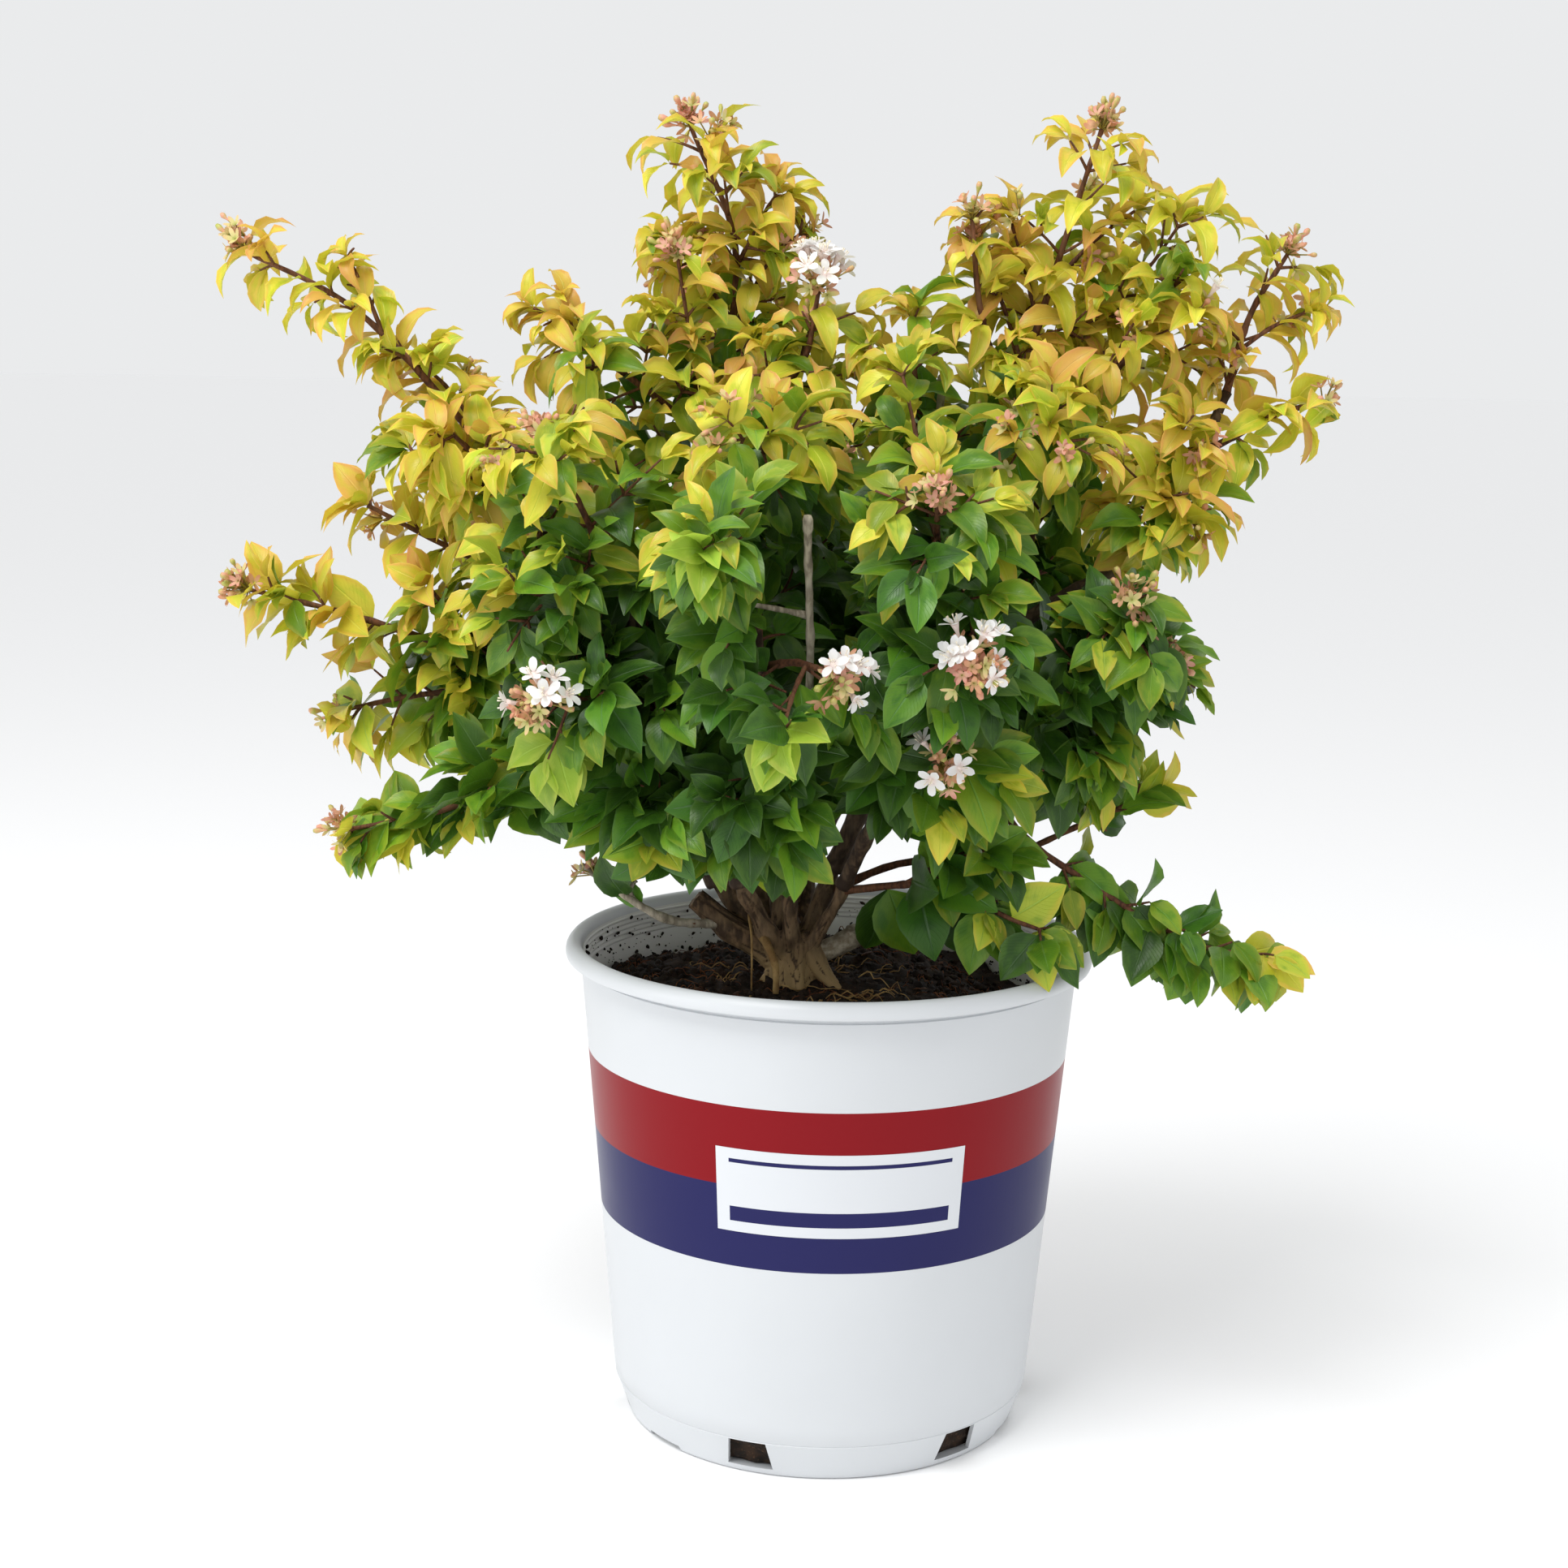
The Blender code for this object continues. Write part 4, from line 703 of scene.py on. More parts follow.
def bark(name, dark, middle, pale, crack_scale, foot=None):
    """Thin shrub bark: brown over darker fibres that run with the wood, paler where it is rubbed or
    towards its foot. Where the relief stored on the mesh is low, in its cracks and hollows, it is darkened
    with painted shade."""
    finish = Finish(name, {"Specular IOR Level": 0.3})
    crack_shade = finish.node("ShaderNodeAttribute", {"attribute_name": "relief"}, {}, "Fac")
    streaks = finish.noise(finish.place((1.0, 1.0, 0.22)), crack_scale, 6.0)
    blotches = finish.step(finish.noise(finish.place(), 70.0, 4.0), 0.4, 0.7)
    colour = finish.mix(finish.step(streaks, 0.38, 0.62), dark, middle)
    colour = finish.mix(blotches * 0.45, colour, pale)
    if foot:
        height = finish.parts(finish.place())[2]
        colour = finish.mix(finish.step(height, *FOOT_HEIGHTS) * -0.75 + 0.75, colour, foot)
    # Painted shade: the colour falls to the dark tone where the stored relief is low, in the cracks and
    # hollows.
    finish.feed("Base Color", finish.mix(finish.step(crack_shade, 0.35, 0.75), dark, colour))
    finish.feed("Roughness", streaks * 0.2 + 0.68)
    fine = finish.noise(finish.place((1.0, 1.0, 0.4)), crack_scale * 4.0, 5.0)
    finish.bump(streaks + fine * 0.4, 0.6, 0.0008)
    return finish


def keep_relief(obj, values):
    """Stores how far each point stands proud, from 0 to 1, for the bark to read; the bark paints shade where
    it is low.
    """
    kept = obj.data.attributes.new("relief", "FLOAT", "POINT")
    kept.data.foreach_set("value", np.asarray(values, np.float32))


old_wood = bark(
    "old_wood", tint(66, 50, 36), tint(120, 96, 70), tint(150, 126, 96), 330.0, tint(168, 142, 98),
)
dead_wood = bark("dead_wood", tint(122, 112, 96), tint(176, 165, 144), tint(208, 199, 180), 420.0)
wood_rng = np.random.default_rng(5)
limbs = {}
for limb_name, (end, start_radius, end_radius) in {**ARMS, **CUT_STUBS}.items():
    end = np.array(end)
    start = CROWN + np.array([0.0, 0.0, 0.010]) + (end - CROWN) * np.array([0.12, 0.12, 0.0])
    middle = (start + end) / 2
    middle[:2] += (end - start)[:2] * 0.06
    radii = np.linspace(start_radius, end_radius, ARM_STATIONS)
    limbs[limb_name] = Limb(smooth_path([start, middle, end], ARM_STATIONS), radii)
arm_paths = np.array([limb.path for limb in limbs.values()])
arm_radii = np.array([limb.radii for limb in limbs.values()])
arm_radii = arm_radii * SLIMMED * (1 + 0.12 * ripple(arm_paths, 0.012, 21))
toe_turns = full_turn(TOE_COUNT) + math.pi * wood_rng.random(TOE_COUNT) / TOE_COUNT
toe_out = around_axis(1.0, np.append(toe_turns, LONG_TOE_TURN), 0.0)
toe_reach = np.append(0.016 + 0.006 * wood_rng.random(TOE_COUNT), LONG_TOE_REACH)
toe_paths = np.array([
    smooth_path([
        CROWN + out * 0.006 + (0, 0, 0.020), CROWN + out * reach * 0.55 + (0, 0, 0.007),
        CROWN + out * reach - (0, 0, 0.003),
    ], ARM_STATIONS)
    for out, reach in zip(toe_out, toe_reach)
])
toe_radii = np.linspace(*TOE_RADII, ARM_STATIONS) * np.ones((len(toe_paths), 1))
stool_points, stool_blocks = turned([(0.0, STOOL[0][1]), *STOOL, (0.0, STOOL[-1][1])], 24)
crown_form = shaped("woody_crown_bark", *together([
    (stool_points + CROWN, stool_blocks), tubes(arm_paths[:-1], arm_radii[:-1], ARM_SIDES),
    tubes(toe_paths, toe_radii, 12),
]), [old_wood])
skin = crown_form.modifiers.new("skin", "REMESH")
skin.mode = "VOXEL"
skin.voxel_size = SKIN_VOXEL
crown = as_rendered(crown_form)
crown_points, crown_normals = np.empty((2, len(crown.data.vertices), 3), np.float32)
crown.data.vertices.foreach_get("co", crown_points.ravel())
crown.data.vertices.foreach_get("normal", crown_normals.ravel())
wood_places = along_wood(crown_points, np.concatenate([arm_paths, toe_paths]))
cracks = 1 - np.abs(ripple(wood_places, FIBRE_WIDTH, 31))
lumps = ripple(crown_points, 0.011, 32)
proud = LUMP_HEIGHT * lumps - CRACK_DEPTH * cracks**5 + 0.0003 * ripple(wood_places, FIBRE_WIDTH * 0.4, 33)
crown_points = crown_points + crown_normals * proud[:, None]
crown.data.vertices.foreach_set("co", crown_points.astype(np.float32).ravel())
crown.data.update()
keep_relief(crown, np.clip(1.10 - 0.8 * cracks**5 + 0.2 * lumps, 0, 1))
crown.data.materials.clear()
crown.data.materials.append(old_wood.material)
crown.data.shade_smooth()
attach(crown, "root")
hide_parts("woody_crown")
stub_start, stub_end = arm_paths[-1, 0], arm_paths[-1, -1]
stub_path = smooth_path([stub_start, stub_end, stub_end + (0.0015, -0.001, 0.0035)], ARM_STATIONS)
stub_radii = np.interp(np.arange(ARM_STATIONS), STUB_STATIONS, STUB_RADII)
stub_points, stub_blocks = tubes(
    stub_path[None], stub_radii[None], 16, (0.0004, 0.0060, (1.0, 1.0, 1.0), 34),
)
weathered_wood = earth("weathered_wood", tint(142, 130, 110), tint(198, 187, 166), 260.0)
stub = shaped("pruned_stub", stub_points, stub_blocks, [weathered_wood])
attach(stub, "root")

# Roots that show. A yellowish one loops from the crown down onto the mix, a straight rootlet drops
# beside it, and pale threads of root lie over the mix round the foot of the plant.
ROOT_STATIONS = 16
ROOT_RADII = (0.0026, 0.0017)
ROOTLET_RADII = (0.0008, 0.0005)
ROOT_THREADS = 34
THREAD_START = 0.034

pale_root = earth("pale_root", tint(128, 98, 58), tint(182, 152, 100), 120.0)
hanging_root = smooth_path([
    (-0.036, -0.026, 0.266), (-0.031, -0.040, 0.262), (-0.027, -0.046, 0.252), (-0.027, -0.047, 0.2395),
], ROOT_STATIONS)
rootlet = smooth_path([
    (-0.042, -0.030, 0.277), (-0.040, -0.041, 0.268), (-0.0395, -0.044, 0.240),
], ROOT_STATIONS)
root_radii = np.linspace(*ROOT_RADII, ROOT_STATIONS)
rootlet_radii = np.linspace(*ROOTLET_RADII, ROOT_STATIONS)
root_points, root_blocks = together([
    tubes(hanging_root[None], root_radii[None], 10, (0.0003, 0.004, (1, 1, 0.5), 41)),
    tubes(rootlet[None], rootlet_radii[None], 6),
])
thread_turns = wood_rng.uniform(0, 2 * math.pi, ROOT_THREADS)
thread_starts = CROWN + around_axis(THREAD_START, thread_turns, 0.0)
thread_starts[:, :2] += wood_rng.normal(0, 0.010, (ROOT_THREADS, 2))
thread_paths, thread_radii = trailing_threads(
    thread_starts, thread_turns + wood_rng.normal(0, 0.7, ROOT_THREADS),
    wood_rng.uniform(0.018, 0.050, ROOT_THREADS), 0.00045, wood_rng, 0.004,
)
roots = shaped("surface_roots", *together([
    (root_points, root_blocks), tubes(thread_paths, thread_radii, 5),
]), [pale_root])
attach(roots, "root")

# Canes and boughs. Grey-brown canes go on from the arms of the crown and taper up into the foliage;
# boughs leave them lower down. A few old canes were cut off bare.
BOUGHS = {
    "cane_left_high": (
        "arm_left_back", 1.0, [(-0.120, -0.002, 0.410)], (-0.166, -0.020, 0.500), 0.0058, 0.0026,
    ),
    "cane_left_mid": (
        "arm_left", 1.0, [(-0.120, -0.016, 0.366)], (-0.176, -0.020, 0.406), 0.0080, 0.0028,
    ),
    "cane_front_left": (
        "arm_front_left", 1.0, [(-0.078, -0.070, 0.385)], (-0.106, -0.092, 0.450), 0.0052, 0.0026,
    ),
    "cane_spire": ("arm_centre", 1.0, [(-0.046, 0.004, 0.430)], (-0.060, 0.000, 0.550), 0.0062, 0.0030),
    "cane_front": ("arm_front", 1.0, [(-0.030, -0.088, 0.370)], (-0.038, -0.124, 0.440), 0.0043, 0.0026),
    "cane_right_spire": (
        "arm_back", 1.0, [(0.040, 0.030, 0.420)], (0.092, 0.004, 0.550), 0.0048, 0.0030,
    ),
    "cane_right_arm": (
        "arm_right", 1.0, [(0.050, -0.016, 0.400), (0.107, -0.026, 0.440), (0.165, -0.018, 0.477)],
        (0.198, 0.000, 0.550), 0.0052, 0.0026,
    ),
    "cane_front_right": (
        "arm_front_right", 1.0, [(0.034, -0.078, 0.370)], (0.050, -0.104, 0.440), 0.0040, 0.0024,
    ),
    "cane_back": ("arm_back", 0.75, [(-0.010, 0.062, 0.370)], (-0.012, 0.084, 0.480), 0.0042, 0.0026),
    "bough_left_low": ("cane_left_mid", 0.35, [], (-0.150, -0.044, 0.350), 0.0034, 0.0022),
    "bough_right_mid": ("cane_right_arm", 0.30, [], (0.130, -0.056, 0.400), 0.0032, 0.0022),
    "bough_back_left": ("cane_left_high", 0.25, [], (-0.122, 0.060, 0.440), 0.0036, 0.0024),
    "bough_back_right": ("cane_right_spire", 0.30, [], (0.104, 0.068, 0.440), 0.0034, 0.0024),
    "cut_cane": ("cane_front", 0.15, [(-0.012, -0.112, 0.400)], (-0.014, -0.140, 0.492), 0.0021, 0.0018),
}
CUT_CANES = {
    "cut_cane_left": ("cane_spire", 0.45, [], (-0.108, 0.004, 0.552), 0.0024, 0.0020),
    "cut_cane_right": ("cane_right_spire", 0.55, [], (0.052, -0.012, 0.556), 0.0024, 0.0020),
}
CANE_STATIONS = 90
CANE_GRAIN = (0.00035, 0.0028, (1.0, 1.0, 0.35), 51)
NODE_STEP = 0.034
NODE_SWELLING = 0.22
CUT_KNOB = 1.4
SUNK = 0.5
ARCHED = 0.06


def limb_between(parent, share, passed, end, start_radius, end_radius, count):
    """A tapering limb from its parent through the passed points to its end, arched a little where
    there are none. It starts inside the parent, so that the joint is closed."""
    end = np.array(end)
    goal = np.array(passed[0]) if passed else end
    point, direction, thickness = parent.at(share)
    way = -direction if share == 1.0 else unit(goal - point)
    start = point + way * thickness * SUNK
    if not passed:
        middle = (start + end) / 2
        middle[2] += ARCHED * np.linalg.norm(end - start)
        passed = [middle]
    return Limb(smooth_path([start, *passed, end], count), np.linspace(start_radius, end_radius, count))


def with_nodes(limb, spacing, swelling):
    """Radii with a slight swelling at each node, where leaves once stood: raised cosines, one to
    each spacing of length, sharpened to the power 12."""
    run = np.linspace(0, limb.length(), len(limb.path))
    return limb.radii * (1 + swelling * np.cos(math.pi * run / spacing) ** 12)


grown_wood = bark("grown_wood", tint(60, 46, 36), tint(104, 84, 64), tint(136, 118, 96), 420.0)
for limb_name, (parent, *shape) in {**BOUGHS, **CUT_CANES}.items():
    limbs[limb_name] = limb_between(limbs[parent], *shape, CANE_STATIONS)


def woody_tubes(chosen, sides, knob=1.0):
    """Limbs with nodes, swollen by the knob just short of their ends."""
    paths = np.array([limb.path for limb in chosen])
    radii = np.array([with_nodes(limb, NODE_STEP, NODE_SWELLING) for limb in chosen])
    radii[:, -4:-1] *= knob
    return tubes(paths, radii, sides, CANE_GRAIN)


def relief_of(points):
    """How far points of the canes stand proud, 0 to 1, by the ripple that shapes them."""
    _, size, stretch, seed = CANE_GRAIN
    return np.clip(0.55 + 0.5 * ripple(points * np.array(stretch), size, seed), 0, 1)


def bare_limb(points, start_radius, end_radius):
    return Limb(smooth_path(points, CANE_STATIONS), np.linspace(start_radius, end_radius, CANE_STATIONS))


live_canes = [name for name in BOUGHS if name != "cut_cane"]
cane_points, cane_blocks = woody_tubes([limbs[name] for name in live_canes], 12)
canes = shaped("canes_and_boughs", cane_points, cane_blocks, [grown_wood])
keep_relief(canes, relief_of(cane_points))
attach(canes, "root")
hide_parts(*live_canes)

side_stub = bare_limb(
    [(-0.013, -0.1245, 0.4440), (-0.028, -0.130, 0.4475), (-0.042, -0.134, 0.4500)], 0.0016, 0.0011,
)
low_twig = limb_between(
    limbs["stub_left"], 0.60, [(-0.085, -0.038, 0.276)], (-0.1283, -0.0486, 0.3054), 0.0026, 0.0015,
    CANE_STATIONS,
)
spur = bare_limb([(-0.100, -0.041, 0.284), (-0.103, -0.043, 0.291), (-0.100, -0.044, 0.297)], 0.0013, 0.0009)
cut_limbs = [limbs[name] for name in ("cut_cane", *CUT_CANES)]
bare_points, bare_blocks = woody_tubes([*cut_limbs, side_stub, low_twig, spur], 10, CUT_KNOB)
bare_canes = shaped("cut_canes", bare_points, bare_blocks, [dead_wood])
keep_relief(bare_canes, 0.5 + 0.5 * relief_of(bare_points))
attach(bare_canes, "root")
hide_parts("cut_cane")

# Stems and twigs. One stem runs through each mass of foliage, and opposite pairs of thin red-brown
# twigs leave it, each pair turned from the last. A mass keeps to the space between the planes that
# lie midway to its neighbours, and nothing grows where it would leave that space or touch a limb.
MASSES = {
    "foliage_left_high": (
        "cane_left_high", 1.0, [(-0.245, -0.028, 0.584)], (-0.312, -0.030, 0.618), 0.036, 0.10,
    ),
    "foliage_left_shoulder": ("cane_left_high", 0.85, [], (-0.205, -0.062, 0.540), 0.060, 0.20),
    "foliage_left_sprig": (
        "cane_left_high", 0.70, [(-0.200, 0.000, 0.462)], (-0.258, -0.016, 0.493), 0.030, 0.35,
    ),
    "foliage_left_mid": (
        "cane_left_mid", 1.0, [(-0.245, -0.030, 0.429)], (-0.312, -0.040, 0.446), 0.036, 0.0,
    ),
    "foliage_left_gold": (
        "cane_left_mid", 0.85, [(-0.215, -0.004, 0.386)], (-0.272, -0.006, 0.374), 0.046, 0.22,
    ),
    "foliage_left_low": (
        "bough_left_low", 1.0, [(-0.208, -0.050, 0.330)], (-0.260, -0.050, 0.319), 0.031, 0.15,
    ),
    "foliage_left_skirt": ("bough_left_low", 0.75, [], (-0.185, -0.084, 0.345), 0.060, 0.20),
    "foliage_front_left_top": ("cane_front_left", 1.0, [], (-0.145, -0.118, 0.535), 0.066, 0.15),
    "foliage_front_left_mid": ("cane_front_left", 0.85, [], (-0.172, -0.124, 0.462), 0.062, 0.25),
    "foliage_front_left_bloom": ("cane_front_left", 0.60, [], (-0.146, -0.150, 0.404), 0.062, 0.25),
    "foliage_front_left_low": ("cane_front_left", 0.35, [], (-0.096, -0.124, 0.346), 0.060, 0.30),
    "foliage_left_spire": (
        "cane_spire", 1.0, [(-0.055, -0.006, 0.620)], (-0.083, -0.010, 0.690), 0.054, 0.10,
    ),
    "foliage_left_top": (
        "cane_spire", 0.85, [(-0.110, -0.030, 0.555)], (-0.155, -0.030, 0.580), 0.060, 0.20,
    ),
    "foliage_top_bloom": (
        "cane_spire", 0.92, [(-0.020, -0.034, 0.560)], (-0.008, -0.050, 0.612), 0.050, 0.35,
    ),
    "foliage_top_small": (
        "cane_right_spire", 0.75, [(0.040, -0.006, 0.545)], (0.034, -0.016, 0.600), 0.042, 0.30,
    ),
    "foliage_top_front": ("cane_spire", 0.65, [], (-0.030, -0.140, 0.540), 0.068, 0.30),
    "foliage_front_top": ("cane_front", 1.0, [], (-0.058, -0.182, 0.505), 0.068, 0.15),
    "foliage_front_mid": ("cane_front", 0.85, [], (0.010, -0.186, 0.422), 0.066, 0.25),
    "foliage_front_low": ("cane_front", 0.50, [], (-0.040, -0.130, 0.330), 0.062, 0.30),
    "foliage_front_right_top": ("cane_front_right", 1.0, [], (0.044, -0.165, 0.510), 0.068, 0.15),
    "foliage_front_right_bloom": ("cane_front_right", 0.85, [], (0.064, -0.182, 0.430), 0.064, 0.25),
    "foliage_front_right_low": ("cane_front_right", 0.50, [], (0.056, -0.150, 0.380), 0.062, 0.30),
    "foliage_right_spire": (
        "cane_right_spire", 1.0, [(0.112, 0.000, 0.623)], (0.133, 0.000, 0.693), 0.052, 0.05,
    ),
    "foliage_right_inner": (
        "cane_right_spire", 0.95, [(0.070, -0.010, 0.590)], (0.063, -0.010, 0.648), 0.032, 0.30,
    ),
    "foliage_right_front": ("cane_right_spire", 0.85, [], (0.108, -0.100, 0.540), 0.062, 0.25),
    "foliage_right_crest": (
        "cane_right_spire", 0.90, [(0.140, -0.006, 0.560)], (0.182, -0.006, 0.618), 0.070, 0.10,
    ),
    "foliage_right_high": (
        "cane_right_arm", 1.0, [(0.210, 0.010, 0.590)], (0.234, 0.010, 0.632), 0.044, 0.05,
    ),
    "foliage_right_twig": (
        "cane_right_arm", 0.90, [(0.226, -0.012, 0.541)], (0.258, -0.018, 0.548), 0.030, 0.25,
    ),
    "foliage_right_shoulder": ("cane_right_arm", 0.75, [], (0.160, -0.064, 0.512), 0.056, 0.15),
    "foliage_right_mid": ("bough_right_mid", 1.0, [], (0.152, -0.098, 0.445), 0.060, 0.15),
    "foliage_right_low": ("bough_right_mid", 0.85, [], (0.190, -0.030, 0.412), 0.044, 0.15),
    "foliage_right_skirt": ("bough_right_mid", 0.55, [], (0.124, -0.084, 0.356), 0.056, 0.30),
    "foliage_right_bare": (
        "arm_right", 0.70, [(0.036, -0.016, 0.303), (0.091, -0.028, 0.311), (0.128, -0.030, 0.328)],
        (0.182, -0.030, 0.354), 0.026, 0.78,
    ),
    "foliage_trailing": (
        "bough_right_mid", 0.35, [(0.089, -0.050, 0.336), (0.131, -0.052, 0.303), (0.189, -0.060, 0.273)],
        (0.238, -0.060, 0.266), 0.036, 0.48,
    ),
    "foliage_over_rim": (
        "arm_front_right", 0.90, [(0.055, -0.056, 0.300), (0.090, -0.072, 0.288)],
        (0.122, -0.088, 0.280), 0.034, 0.22,
    ),
    "foliage_low_sprig": (
        "stub_left", 0.60, [(-0.085, -0.038, 0.276)], (-0.132, -0.050, 0.308), 0.020, 0.60,
    ),
    "foliage_back_top": ("cane_back", 1.0, [], (-0.044, 0.102, 0.572), 0.070, 0.15),
    "foliage_back_mid": ("cane_back", 0.85, [], (-0.030, 0.180, 0.450), 0.070, 0.15),
    "foliage_back_low": ("cane_back", 0.50, [], (-0.010, 0.148, 0.350), 0.066, 0.25),
    "foliage_back_left_top": ("bough_back_left", 1.0, [], (-0.168, 0.082, 0.522), 0.068, 0.15),
    "foliage_back_left_mid": ("bough_back_left", 0.80, [], (-0.195, 0.110, 0.414), 0.068, 0.20),
    "foliage_back_right_top": ("bough_back_right", 1.0, [], (0.116, 0.094, 0.536), 0.068, 0.15),
    "foliage_back_right_mid": ("bough_back_right", 0.80, [], (0.155, 0.118, 0.414), 0.068, 0.20),
}
BLOOM_MASSES = (
    "foliage_top_bloom", "foliage_front_left_bloom", "foliage_front_mid", "foliage_front_right_bloom",
    "foliage_front_right_low",
)
TIP_CLUSTERS = {
    "foliage_left_high": 12, "foliage_left_mid": 18, "foliage_left_low": 12, "foliage_left_gold": 6,
    "foliage_left_spire": 22, "spire_left_bud": 16, "spire_right_side": 6, "foliage_right_spire": 22,
    "right_spire_left": 8, "foliage_right_high": 14, "foliage_right_inner": 8, "foliage_front_right_top": 12,
    "right_shoulder_bud": 14, "right_mid_sprig": 8, "foliage_low_sprig": 6, "foliage_right_twig": 5,
    "back_left_spire": 12, "back_right_spire": 12, "back_sprig": 10, "back_left_sprig": 8,
    "back_right_sprig": 8, "foliage_front_left_top": 12, "foliage_right_mid": 8,
}
SHOOTS = {
    "arch_sprig": ("foliage_left_high", 0.55, [], (-0.254, -0.030, 0.622), 0.014, 0.35),
    "second_arch": (
        "foliage_left_high", 0.04, [(-0.204, -0.020, 0.550)], (-0.236, -0.022, 0.568), 0.024, 0.05,
    ),
    "left_tip": ("foliage_left_shoulder", 0.35, [], (-0.232, -0.040, 0.522), 0.036, 0.10),
    "crest_sprig": ("foliage_left_top", 0.70, [], (-0.166, -0.030, 0.594), 0.018, 0.30),
    "spire_left_side": ("foliage_left_spire", 0.25, [], (-0.100, -0.012, 0.635), 0.028, 0.10),
    "spire_left_bud": ("foliage_left_top", 0.20, [], (-0.084, -0.036, 0.625), 0.032, 0.15),
    "spire_right_side": (
        "foliage_left_spire", 0.20, [(-0.034, -0.010, 0.616)], (-0.010, -0.012, 0.634), 0.028, 0.10,
    ),
    "spire_right_high": ("foliage_left_spire", 0.45, [], (-0.026, -0.012, 0.660), 0.030, 0.10),
    "right_spire_left": ("foliage_right_spire", 0.08, [], (0.062, 0.000, 0.636), 0.026, 0.35),
    "right_spire_high": ("foliage_right_spire", 0.25, [], (0.080, 0.000, 0.650), 0.028, 0.20),
    "right_spire_side": (
        "foliage_right_spire", 0.12, [(0.150, -0.004, 0.606)], (0.180, -0.008, 0.648), 0.046, 0.05,
    ),
    "right_spire_outer": ("foliage_right_spire", 0.40, [], (0.160, -0.004, 0.652), 0.028, 0.20),
    "right_crest_side": ("foliage_right_crest", 0.40, [], (0.188, -0.034, 0.596), 0.034, 0.30),
    "right_high_side": ("foliage_right_high", 0.30, [], (0.248, 0.000, 0.598), 0.024, 0.40),
    "right_mid_sprig": ("foliage_right_low", 0.45, [], (0.178, -0.062, 0.422), 0.026, 0.30),
    "right_shoulder_bud": ("foliage_right_mid", 0.50, [], (0.146, -0.090, 0.462), 0.036, 0.15),
    "valley_front": ("foliage_front_right_top", 0.45, [], (0.026, -0.085, 0.574), 0.036, 0.15),
    "valley_back": ("foliage_top_small", 0.05, [], (0.006, -0.036, 0.582), 0.034, 0.10),
    "arm_sprig": ("cane_right_arm", 0.80, [], (0.170, -0.048, 0.548), 0.036, 0.10),
    "rim_sprig": ("foliage_over_rim", 0.30, [], (0.090, -0.084, 0.330), 0.030, 0.10),
    "left_fill": ("foliage_left_mid", 0.12, [], (-0.214, -0.046, 0.462), 0.034, 0.10),
    "back_left_spire": ("foliage_back_top", 0.35, [], (-0.090, 0.084, 0.612), 0.038, 0.05),
    "back_right_spire": ("foliage_back_right_top", 0.45, [], (0.132, 0.070, 0.600), 0.038, 0.05),
    "back_sprig": ("foliage_back_mid", 0.50, [], (0.020, 0.170, 0.505), 0.038, 0.05),
    "back_left_sprig": ("foliage_back_left_mid", 0.55, [], (-0.216, 0.090, 0.470), 0.034, 0.05),
    "back_right_sprig": ("foliage_back_right_mid", 0.55, [], (0.196, 0.098, 0.474), 0.034, 0.05),
    "front_sprig": ("foliage_front_top", 0.75, [], (-0.062, -0.222, 0.482), 0.032, 0.30),
    "low_front_sprig": ("foliage_front_mid", 0.60, [], (-0.026, -0.212, 0.392), 0.032, 0.30),
}
STEM_STATIONS = 24
TWIG_STATIONS = 6
STEM_RADII = (0.0022, 0.0011)
SHOOT_RADII = (0.0013, 0.0008)
TWIG_RADII = (0.00095, 0.00055)
STEM_NODE_STEP = 0.017
STEM_SWELLING = 0.25
SMOOTH_WOOD = 0.8
BLOOM_GAP = 0.016
BUD_GAP = 0.014
SLIM_GAP = 0.018
FULL_GAP = 0.40
SLIM_MASS = 0.037
SPRIG_MASS = 0.028
FULL_STEP = 0.0165
HIGH_STRETCH = 0.40
SLIM_STEP = 0.0120
HIGH_START = 0.42
HIGH_SPAN = 0.14
BUD_ROOM = 0.009
LEAF_STEP = 0.0120
LEAF_HEIGHTS = (0.27, 0.30, 0.34, 0.42, 0.55, 0.66)
LEAF_LENGTHS = (0.038, 0.043, 0.043, 0.040, 0.0385, 0.0375)
LEAF_TRIES = 5
LEAF_ROOM = 0.0012
RIVAL_ROOM = 0.11
RIM_ZONE = (0.121, 0.142)
RIM_CLEAR = 0.261
MIX_CLEAR = 0.2445
SIDE_TWIG = 0.026
INFILL_START = 0.34
INFILL_STEP = 0.028
INFILL_WIDTH = 0.075
INFILL_FLOOR = 0.332
PLANE_SLACK = 0.018
REACH_SLACK = 1.12
REACHES = {
    "foliage_trailing": 1.40, "foliage_over_rim": 1.25, "foliage_left_top": 0.86,
    "foliage_left_skirt": 0.95, "foliage_left_low": 0.88, "foliage_left_high": 0.98,
    "foliage_left_spire": 0.84, "foliage_right_spire": 0.94, "foliage_right_mid": 0.72,
    "foliage_right_low": 0.68, "foliage_right_shoulder": 0.80, "foliage_low_sprig": 0.80,
    "foliage_right_skirt": 0.74, "foliage_right_twig": 0.95, "foliage_right_bare": 0.85,
}
FLOORS = {"foliage_left_skirt": 0.326, "foliage_front_left_low": 0.308}
LOW_SHOOTS = {"foliage_trailing": 0.0130, "foliage_over_rim": 0.0190}
BLOOM_ROOM = 0.023
BLOOM_AHEAD = 0.012
CANE_WINDOW = ((-0.032, -0.260, 0.418), (0.004, -0.112, 0.498))
CROWN_MIDDLE = np.array([0.0, -0.010, 0.430])


def stem_gap(name, half_width):
    """How far short of its mass's tip a stem ends."""
    if name in BLOOM_MASSES:
        return BLOOM_GAP
    if half_width < SPRIG_MASS or name in TIP_CLUSTERS:
        return BUD_GAP
    return SLIM_GAP if half_width < SLIM_MASS else half_width * FULL_GAP


